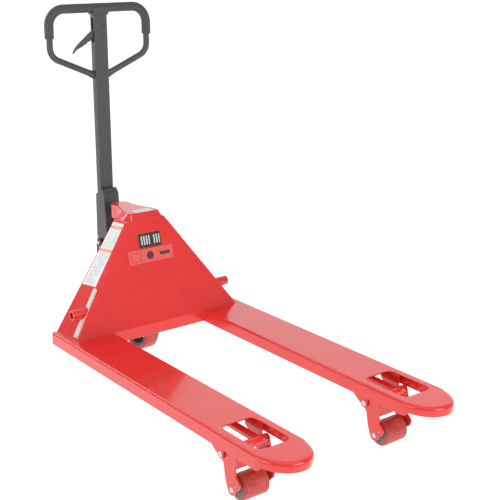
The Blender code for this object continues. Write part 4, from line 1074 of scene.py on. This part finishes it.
# ---------------------------------------------------------------- steer wheels
# Cast spoked hubs, painted dark, with the same red polyurethane tread as the load rollers. The
# hub's rim is turned, and each end has a bearing.
HUB_GREY = cast_metal("painted_hub_casting", "3C3C3F", "5A5856", 0.48, 0.002)
for word, way in WAYS.items():
    body = "steer_wheel_" + word
    low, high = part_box("steer_hub_" + word)
    middle = (low + high) / 2
    rim, boss_end, rim_half = 0.0755, (high.y - low.y) / 2, 0.0235
    shape = bmesh.new()
    ring_profile = rounded([(0.0640, -0.010), (0.0665, -rim_half), (rim, -rim_half), (rim, rim_half),
                            (0.0665, rim_half),
                            (0.0640, 0.010)], [0.003, 0.001, 0.0006, 0.0006, 0.001, 0.003], 3)
    shape.from_mesh(lathe(ring_profile, "Y", middle, 96))
    bearing = [(0.0106, -boss_end), (0.0145, -boss_end), (0.0150, -boss_end + 0.0012),
               (0.0200, -boss_end + 0.0012),
               (0.0205, -boss_end), (0.0240, -boss_end + 0.001), (0.0262, -0.006), (0.0262, 0.006),
               (0.0240, boss_end - 0.001), (0.0205, boss_end), (0.0200, boss_end - 0.0012),
               (0.0150, boss_end - 0.0012), (0.0145, boss_end), (0.0106, boss_end)]
    shape.from_mesh(lathe(bearing, "Y", middle, 64))
    disc = [arc((middle.x, middle.z), 0.0655, 0, 352.5, 47), arc((middle.x, middle.z), 0.0250, 6, 354, 29)]
    for k in range(6):
        turn = 60 * k
        inner, outer_r, spread = 0.0310, 0.0575, 19
        window = arc((middle.x, middle.z), outer_r, turn - spread, turn + spread, 4)
        window += arc((middle.x, middle.z), inner, turn + spread * 0.75, turn - spread * 0.75, 4)
        disc.append(rounded(window, 0, 1))
    shape.from_mesh(plate(disc, 0.012, "Y", (0, middle.y, 0), 0.0020, 3))
    show("wheel_hub_" + word, to_mesh(shape), body, HUB_GREY, ["steer_hub_" + word])
    low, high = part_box("steer_tread_" + word)
    outer, half = (high.z - low.z) / 2 + 0.0002, (high.y - low.y) / 2
    tread = rounded([(rim + 0.0003, -half), (outer, -half), (outer, half), (rim + 0.0003, half)],
                    [0.0008, 0.0052, 0.0052, 0.0008], 6)
    show("wheel_tyre_" + word, lathe(tread, "Y", middle, 128), body, TREAD,
         ["steer_tread_" + word])

# ---------------------------------------------------------------- handle
# A rectangular tube stands in a folded bracket, and a bent tube welded to it makes the loop. All
# of it is powder coated dark grey; the dark grey grip is moulded over the loop's top.
POWDER_COAT = cast_metal("grey_powder_coat", "3F4044", "45464B", 0.34, 0.0016)
MOULDED_GRIP = cast_metal("matt_moulded_grip", "3D3C40", "454448", 0.55, 0.0014)
shaft_low, shaft_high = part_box("handle_shaft")
SHAFT_HALF = shaft_high.y
SHAFT_MIDDLE = (shaft_low.x + shaft_high.x) / 2
lever_pin_box = centre_of("lever_pin")
roller = centre_of("handle_roller")
outline = rounded([(cap_front - 0.189, 0.603), (cap_front - 0.173, 0.586), (cap_front - 0.163, 0.464),
                   (cap_front - 0.160, 0.418), (cap_front - 0.184, 0.388), (cap_front - 0.222, 0.388),
                   (cap_front - 0.234, 0.402), (cap_front - 0.231, 0.578)],
                  [0.004, 0.008, 0.010, 0.012, 0.010, 0.008, 0.006, 0.004], 5)
bracket = plate([outline], 0.060, "Y", (0, 0, 0), 0.0026, 4)
gap = 0.0003
socket = block((shaft_low.x - gap, -SHAFT_HALF - gap, 0.452), (shaft_high.x + gap, SHAFT_HALF + gap, 0.65),
               0.0004, 1)
fork_gap = block((shaft_low.x - 0.10, -0.0245, 0.35), (cap_front - 0.170, 0.0245, 0.4515), 0.0010, 1)
bracket = carved(bracket, socket, fork_gap, bar((handle_pin.x, 0, handle_pin.z), "Y", 0.1, 0.0073),
                 bar((roller.x, 0, roller.z), "Y", 0.1, 0.0043))
show("shaft_bracket", bracket, "handle", POWDER_COAT, ["handle_base"])

tube_edge = 0.0028
WALL = 0.003
skin = rounded([(shaft_low.x, -SHAFT_HALF), (shaft_high.x, -SHAFT_HALF), (shaft_high.x, SHAFT_HALF),
                (shaft_low.x, SHAFT_HALF)], tube_edge, 5)
bore = rounded([(shaft_low.x + WALL, WALL - SHAFT_HALF), (shaft_high.x - WALL, WALL - SHAFT_HALF),
                (shaft_high.x - WALL, SHAFT_HALF - WALL), (shaft_low.x + WALL, SHAFT_HALF - WALL)], 0.001, 2)
tube = plate([skin, bore], shaft_high.z - shaft_low.z, "Z", (0, 0, (shaft_low.z + shaft_high.z) / 2),
             0.0004, 1)
mouth = block((SHAFT_MIDDLE - 0.0065, -0.05, 1.106), (SHAFT_MIDDLE + 0.0065, -0.01, 1.188), 0.0012, 2)
pin_bore = bar(lever_pin_box, "X", 0.1, 0.0033)
shape = bmesh.new()
shape.from_mesh(carved(tube, mouth, pin_bore))
lid_low, lid_high = shaft_high.z - WALL, shaft_high.z
lid = plate([bore], WALL - 0.0004, "Z", (0, 0, (lid_low + lid_high) / 2), 0.0003, 1)
shape.from_mesh(lid)
show("shaft_tube", to_mesh(shape), "handle", POWDER_COAT, ["handle_shaft"])

grip_low, grip_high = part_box("grip_sleeve")
GRIP_RADIUS = (grip_high.x - grip_low.x) / 2
LOOP_X = (grip_low.x + grip_high.x) / 2
LOOP_HALF = grip_high.y - GRIP_RADIUS
LOOP_TOP = grip_high.z - GRIP_RADIUS
JOINT_Z = 0.996
ELBOW_Z = 1.065
GRIP_END = grip_low.z
TUBE = 0.0105


def bent(corners, radii, steps):
    """Path with its inner corners turned into arcs."""
    shape = rounded(corners, [0] + radii + [0], steps)
    return shape


def in_plane(path, gap=0.006):
    """The path in the handle's plane, with a point at least every gap."""
    dense = []
    for one, two in zip(path, path[1:]):
        steps = max(int(math.dist(one, two) / gap), 1)
        dense += [(LOOP_X, one[0] + (two[0] - one[0]) * k / steps, one[1] + (two[1] - one[1]) * k / steps)
                  for k in range(steps)]
    return dense + [(LOOP_X, *path[-1])]


for word, way in WAYS.items():
    lean = math.atan2(ELBOW_Z - JOINT_Z, LOOP_HALF - SHAFT_HALF)
    start = SHAFT_HALF + 0.0006
    path = in_plane(bent([(way * start, JOINT_Z), (way * LOOP_HALF, ELBOW_Z),
                          (way * LOOP_HALF, GRIP_END - 0.0003)],
                         [0.045], 14))
    travelled = [0]
    for one, two in zip(path, path[1:]):
        travelled.append(travelled[-1] + math.dist(one, two))

    def pressed_end(i):
        flare = max(1 - travelled[i] / 0.030, 0)
        flare = flare * flare * (3 - 2 * flare)
        return oval(TUBE * (1 + 0.26 * flare), TUBE * (1 - 0.42 * flare), 28)

    show("loop_tube_" + word, swept(path, pressed_end, (1, 0, 0)), "handle", POWDER_COAT,
         ["handle_loop_" + word])
    upright = [(LOOP_X + 0.0068 * math.cos(t), way * (SHAFT_HALF + 0.0004),
                JOINT_Z + 0.0012 + 0.0142 * math.sin(t))
               for t in (2 * math.pi * k / 40 for k in range(40))]

    def joint_bead(i):
        return oval(0.0015 * (1 + 0.12 * math.sin(i * math.pi / 2)), 0.0015, 8)

    show("weld_loop_" + word, swept(upright, joint_bead, (0, 1, 0), True), "handle",
         POWDER_COAT)

grip_path = in_plane(bent([(-LOOP_HALF, GRIP_END), (-LOOP_HALF, LOOP_TOP), (LOOP_HALF, LOOP_TOP),
                           (LOOP_HALF, GRIP_END)], [0.055, 0.055], 18), 0.0025)
last = len(grip_path) - 1


def sleeve_section(i):
    """Rounded lip at each end, a shallow groove behind it, and a slightly uneven skin."""
    end = min(i, last - i) * 0.0025
    lip = min(1.0, 0.93 + 0.07 * end / 0.004)
    groove = 0.0006 if 0.010 < end < 0.013 else 0
    radius = GRIP_RADIUS * lip - groove - 0.00012 * (1 + math.sin(i * 0.21))
    return oval(radius, radius, 32)


show("grip_moulding", swept(grip_path, sleeve_section, (1, 0, 0)), "handle", MOULDED_GRIP,
     ["grip_sleeve"])

tab_low, tab_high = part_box("head_plate")
tab = rounded([(-0.031, tab_high.z), (-0.031, tab_low.z + 0.0018), (-0.027, tab_low.z), (0.027, tab_low.z),
               (0.031, tab_low.z + 0.0018), (0.031, tab_high.z)], 0.001, 3)
shape = bmesh.new()
shape.from_mesh(plate([tab], tab_high.x - tab_low.x, "X", (LOOP_X, 0, 0), 0.0007, 2))
wing = rounded([(-0.028, tab_high.z - 0.001), (0.030, tab_high.z - 0.001), (0.032, tab_high.z + 0.0125),
                (0.044, tab_high.z + 0.0182), (0.044, tab_high.z + 0.0226), (0.022, tab_high.z + 0.0190),
                (-0.028, tab_high.z + 0.0165)], [0.001, 0.001, 0.004, 0.002, 0.002, 0.006, 0.003], 4)
shape.from_mesh(plate([wing], 0.0032, "X", (LOOP_X + GRIP_RADIUS - 0.0004, 0, 0), 0.0010, 3))
show("grip_tab", to_mesh(shape), "handle", POWDER_COAT, ["head_plate"])

# ---------------------------------------------------------------- control lever and small parts
# The finger lever is a zinc casting painted with the handle, with notches for three fingers.
pin_y, pin_z = lever_pin_box.y, lever_pin_box.z
upper = [(-0.018, 1.1530), (-0.040, 1.1370), (-0.060, 1.1205), (-0.076, 1.1080), (-0.090, 1.0950),
         (-0.099, 1.0830),
         (-0.1040, 1.0730)]
lower = [(-0.1010, 1.0715), (-0.0950, 1.0780), (-0.0880, 1.0840), (-0.0800, 1.0885), (-0.0730, 1.0910),
         (-0.0668, 1.0935),
         (-0.0640, 1.0962), (-0.0600, 1.0992), (-0.0530, 1.1004), (-0.0492, 1.1030), (-0.0472, 1.1070),
         (-0.0420, 1.1092), (-0.0355, 1.1108), (-0.0310, 1.1150), (-0.0200, 1.1195), (0.004, 1.1380)]
outline = arc((pin_y, pin_z), 0.0065, -60, 120, 14) + smooth_through(upper, 3) + smooth_through(lower, 3)
lever_hole = arc((pin_y, pin_z), 0.0033, 6, 354, 21)
mesh = plate([outline, lever_hole], 0.0086, "X", (LOOP_X, 0, 0), 0.0022, 3)
show("finger_lever", mesh, "control_lever", POWDER_COAT, ["control_lever"])
lever_rivet = bar(lever_pin_box, "X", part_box("lever_pin")[1].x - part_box("lever_pin")[0].x, 0.0031, 0.0006, 24)
show("lever_rivet", lever_rivet, "handle", CAST_IRON, ["lever_pin"])
riveted_pin("handle_pivot_pin", "handle_pin", "handle")
riveted_pin("tappet_roller_pin", "handle_roller_pin", "handle")
low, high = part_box("handle_roller")
wheel = turned_ring(low.y - roller.y, high.y - roller.y, 0.0043, (high.z - low.z) / 2, 0.0012)
show("tappet_roller", lathe(wheel, "Y", roller, 40), "handle", ZINC, ["handle_roller"])
for k, (x, z, size) in enumerate(((-0.0115, -0.0130, 0.0046), (0.0105, -0.0150, 0.0042))):
    head = lathe([(0, -0.0022), (size - 0.0007, -0.0022), (size, -0.0014), (size, 0.0012), (0, 0.0012)], "Y",
                 (handle_pin.x + x, -0.0412, handle_pin.z + z), 6)
    show(f"ear_bolt_{k}", head, "pump", ZINC)

# ---------------------------------------------------------------- floor, light and camera
# White paper, lit from below like a light table so that it stays white, under and behind the jack.
# Big soft boxes light the paint, and a long lens looks from the front right, above the cap.
floor_mesh = bpy.data.meshes.new("floor")
REACH = 60
floor_mesh.from_pydata([(-REACH, -REACH, 0), (REACH, -REACH, 0), (REACH, REACH, 0), (-REACH, REACH, 0)], [],
                       [(0, 1, 2, 3)])
floor = bpy.data.objects.new("floor", floor_mesh)
scene.collection.objects.link(floor)
paper, paper_tree, paper_shader, paper_place = start_finish(
    "white_backdrop_paper", Roughness=0.9, Specular_IOR_Level=0.0, Emission_Strength=0.88,
    Emission_Color=(1, 1, 1, 1))
fibre = add(paper_tree, "TexNoise", {"Vector": paper_place, "Scale": 40.0, "Detail": 3.0})
fibre_tone = add(paper_tree, "MapRange", {"Value": fibre.outputs["Fac"], "To Min": 0.42, "To Max": 0.48})
paper_tree.links.new(fibre_tone.outputs["Result"], paper_shader.inputs["Base Color"])
floor_mesh.materials.append(paper)

# The sky is brightest low down behind the jack, which is what the tops of the forks mirror.
world = bpy.data.worlds.new("studio")
world.use_nodes = True
sky = world.node_tree
sky.nodes.clear()
toward = add(sky, "VectorMath", {0: add(sky, "TexCoord").outputs["Generated"], 1: (-0.76, 0.58, 0.30)},
             operation="DOT_PRODUCT")
glow = add(sky, "MapRange", {"Value": toward.outputs["Value"], "From Min": 0.55, "From Max": 0.95,
                             "To Min": 0.38, "To Max": 1.05})
background = add(sky, "Background", {"Strength": glow.outputs["Result"]})
background.inputs["Color"].default_value = (1, 1, 1, 1)
add(sky, "OutputWorld", {"Surface": background.outputs["Background"]})
scene.world = world
scene.view_settings.view_transform = "Standard"


def soft_box(name, location, target, size, power):
    light = bpy.data.lights.new(name, "AREA")
    light.shape = "RECTANGLE"
    light.size, light.size_y = size
    light.energy = power
    made = bpy.data.objects.new(name, light)
    scene.collection.objects.link(made)
    made.location = location
    made.rotation_euler = (Vector(target) - Vector(location)).to_track_quat("-Z", "Y").to_euler()


soft_box("over_head", (0.3, -0.2, 3.2), (0, 0, 0), (3.0, 3.0), 14)
soft_box("front_fill", (2.6, 0.4, 1.6), (0, 0, 0.3), (1.6, 1.6), 28)
soft_box("side_fill", (-0.4, -3.0, 1.5), (-0.4, 0, 0.4), (1.8, 1.8), 24)
soft_box("edge_strip", (-2.6, -1.0, 1.9), (0, -0.3, 0.2), (0.25, 2.2), 14)
for k in (-1, 0, 1):
    soft_box(f"lamp_{k + 1}", (1.3 + 0.36 * k, -0.8 + 0.46 * k, 3.0), (0.5, 0, 0.1), (0.10, 0.10), 3)

lens = bpy.data.cameras.new("camera")
lens.lens = 75.26
lens.sensor_width = 36
camera = bpy.data.objects.new("camera", lens)
scene.collection.objects.link(camera)
camera.location = (2.487914, -1.7955, 1.4319)
camera.rotation_euler = (math.radians(90 - 16.42), 0, math.radians(52.41))
scene.camera = camera
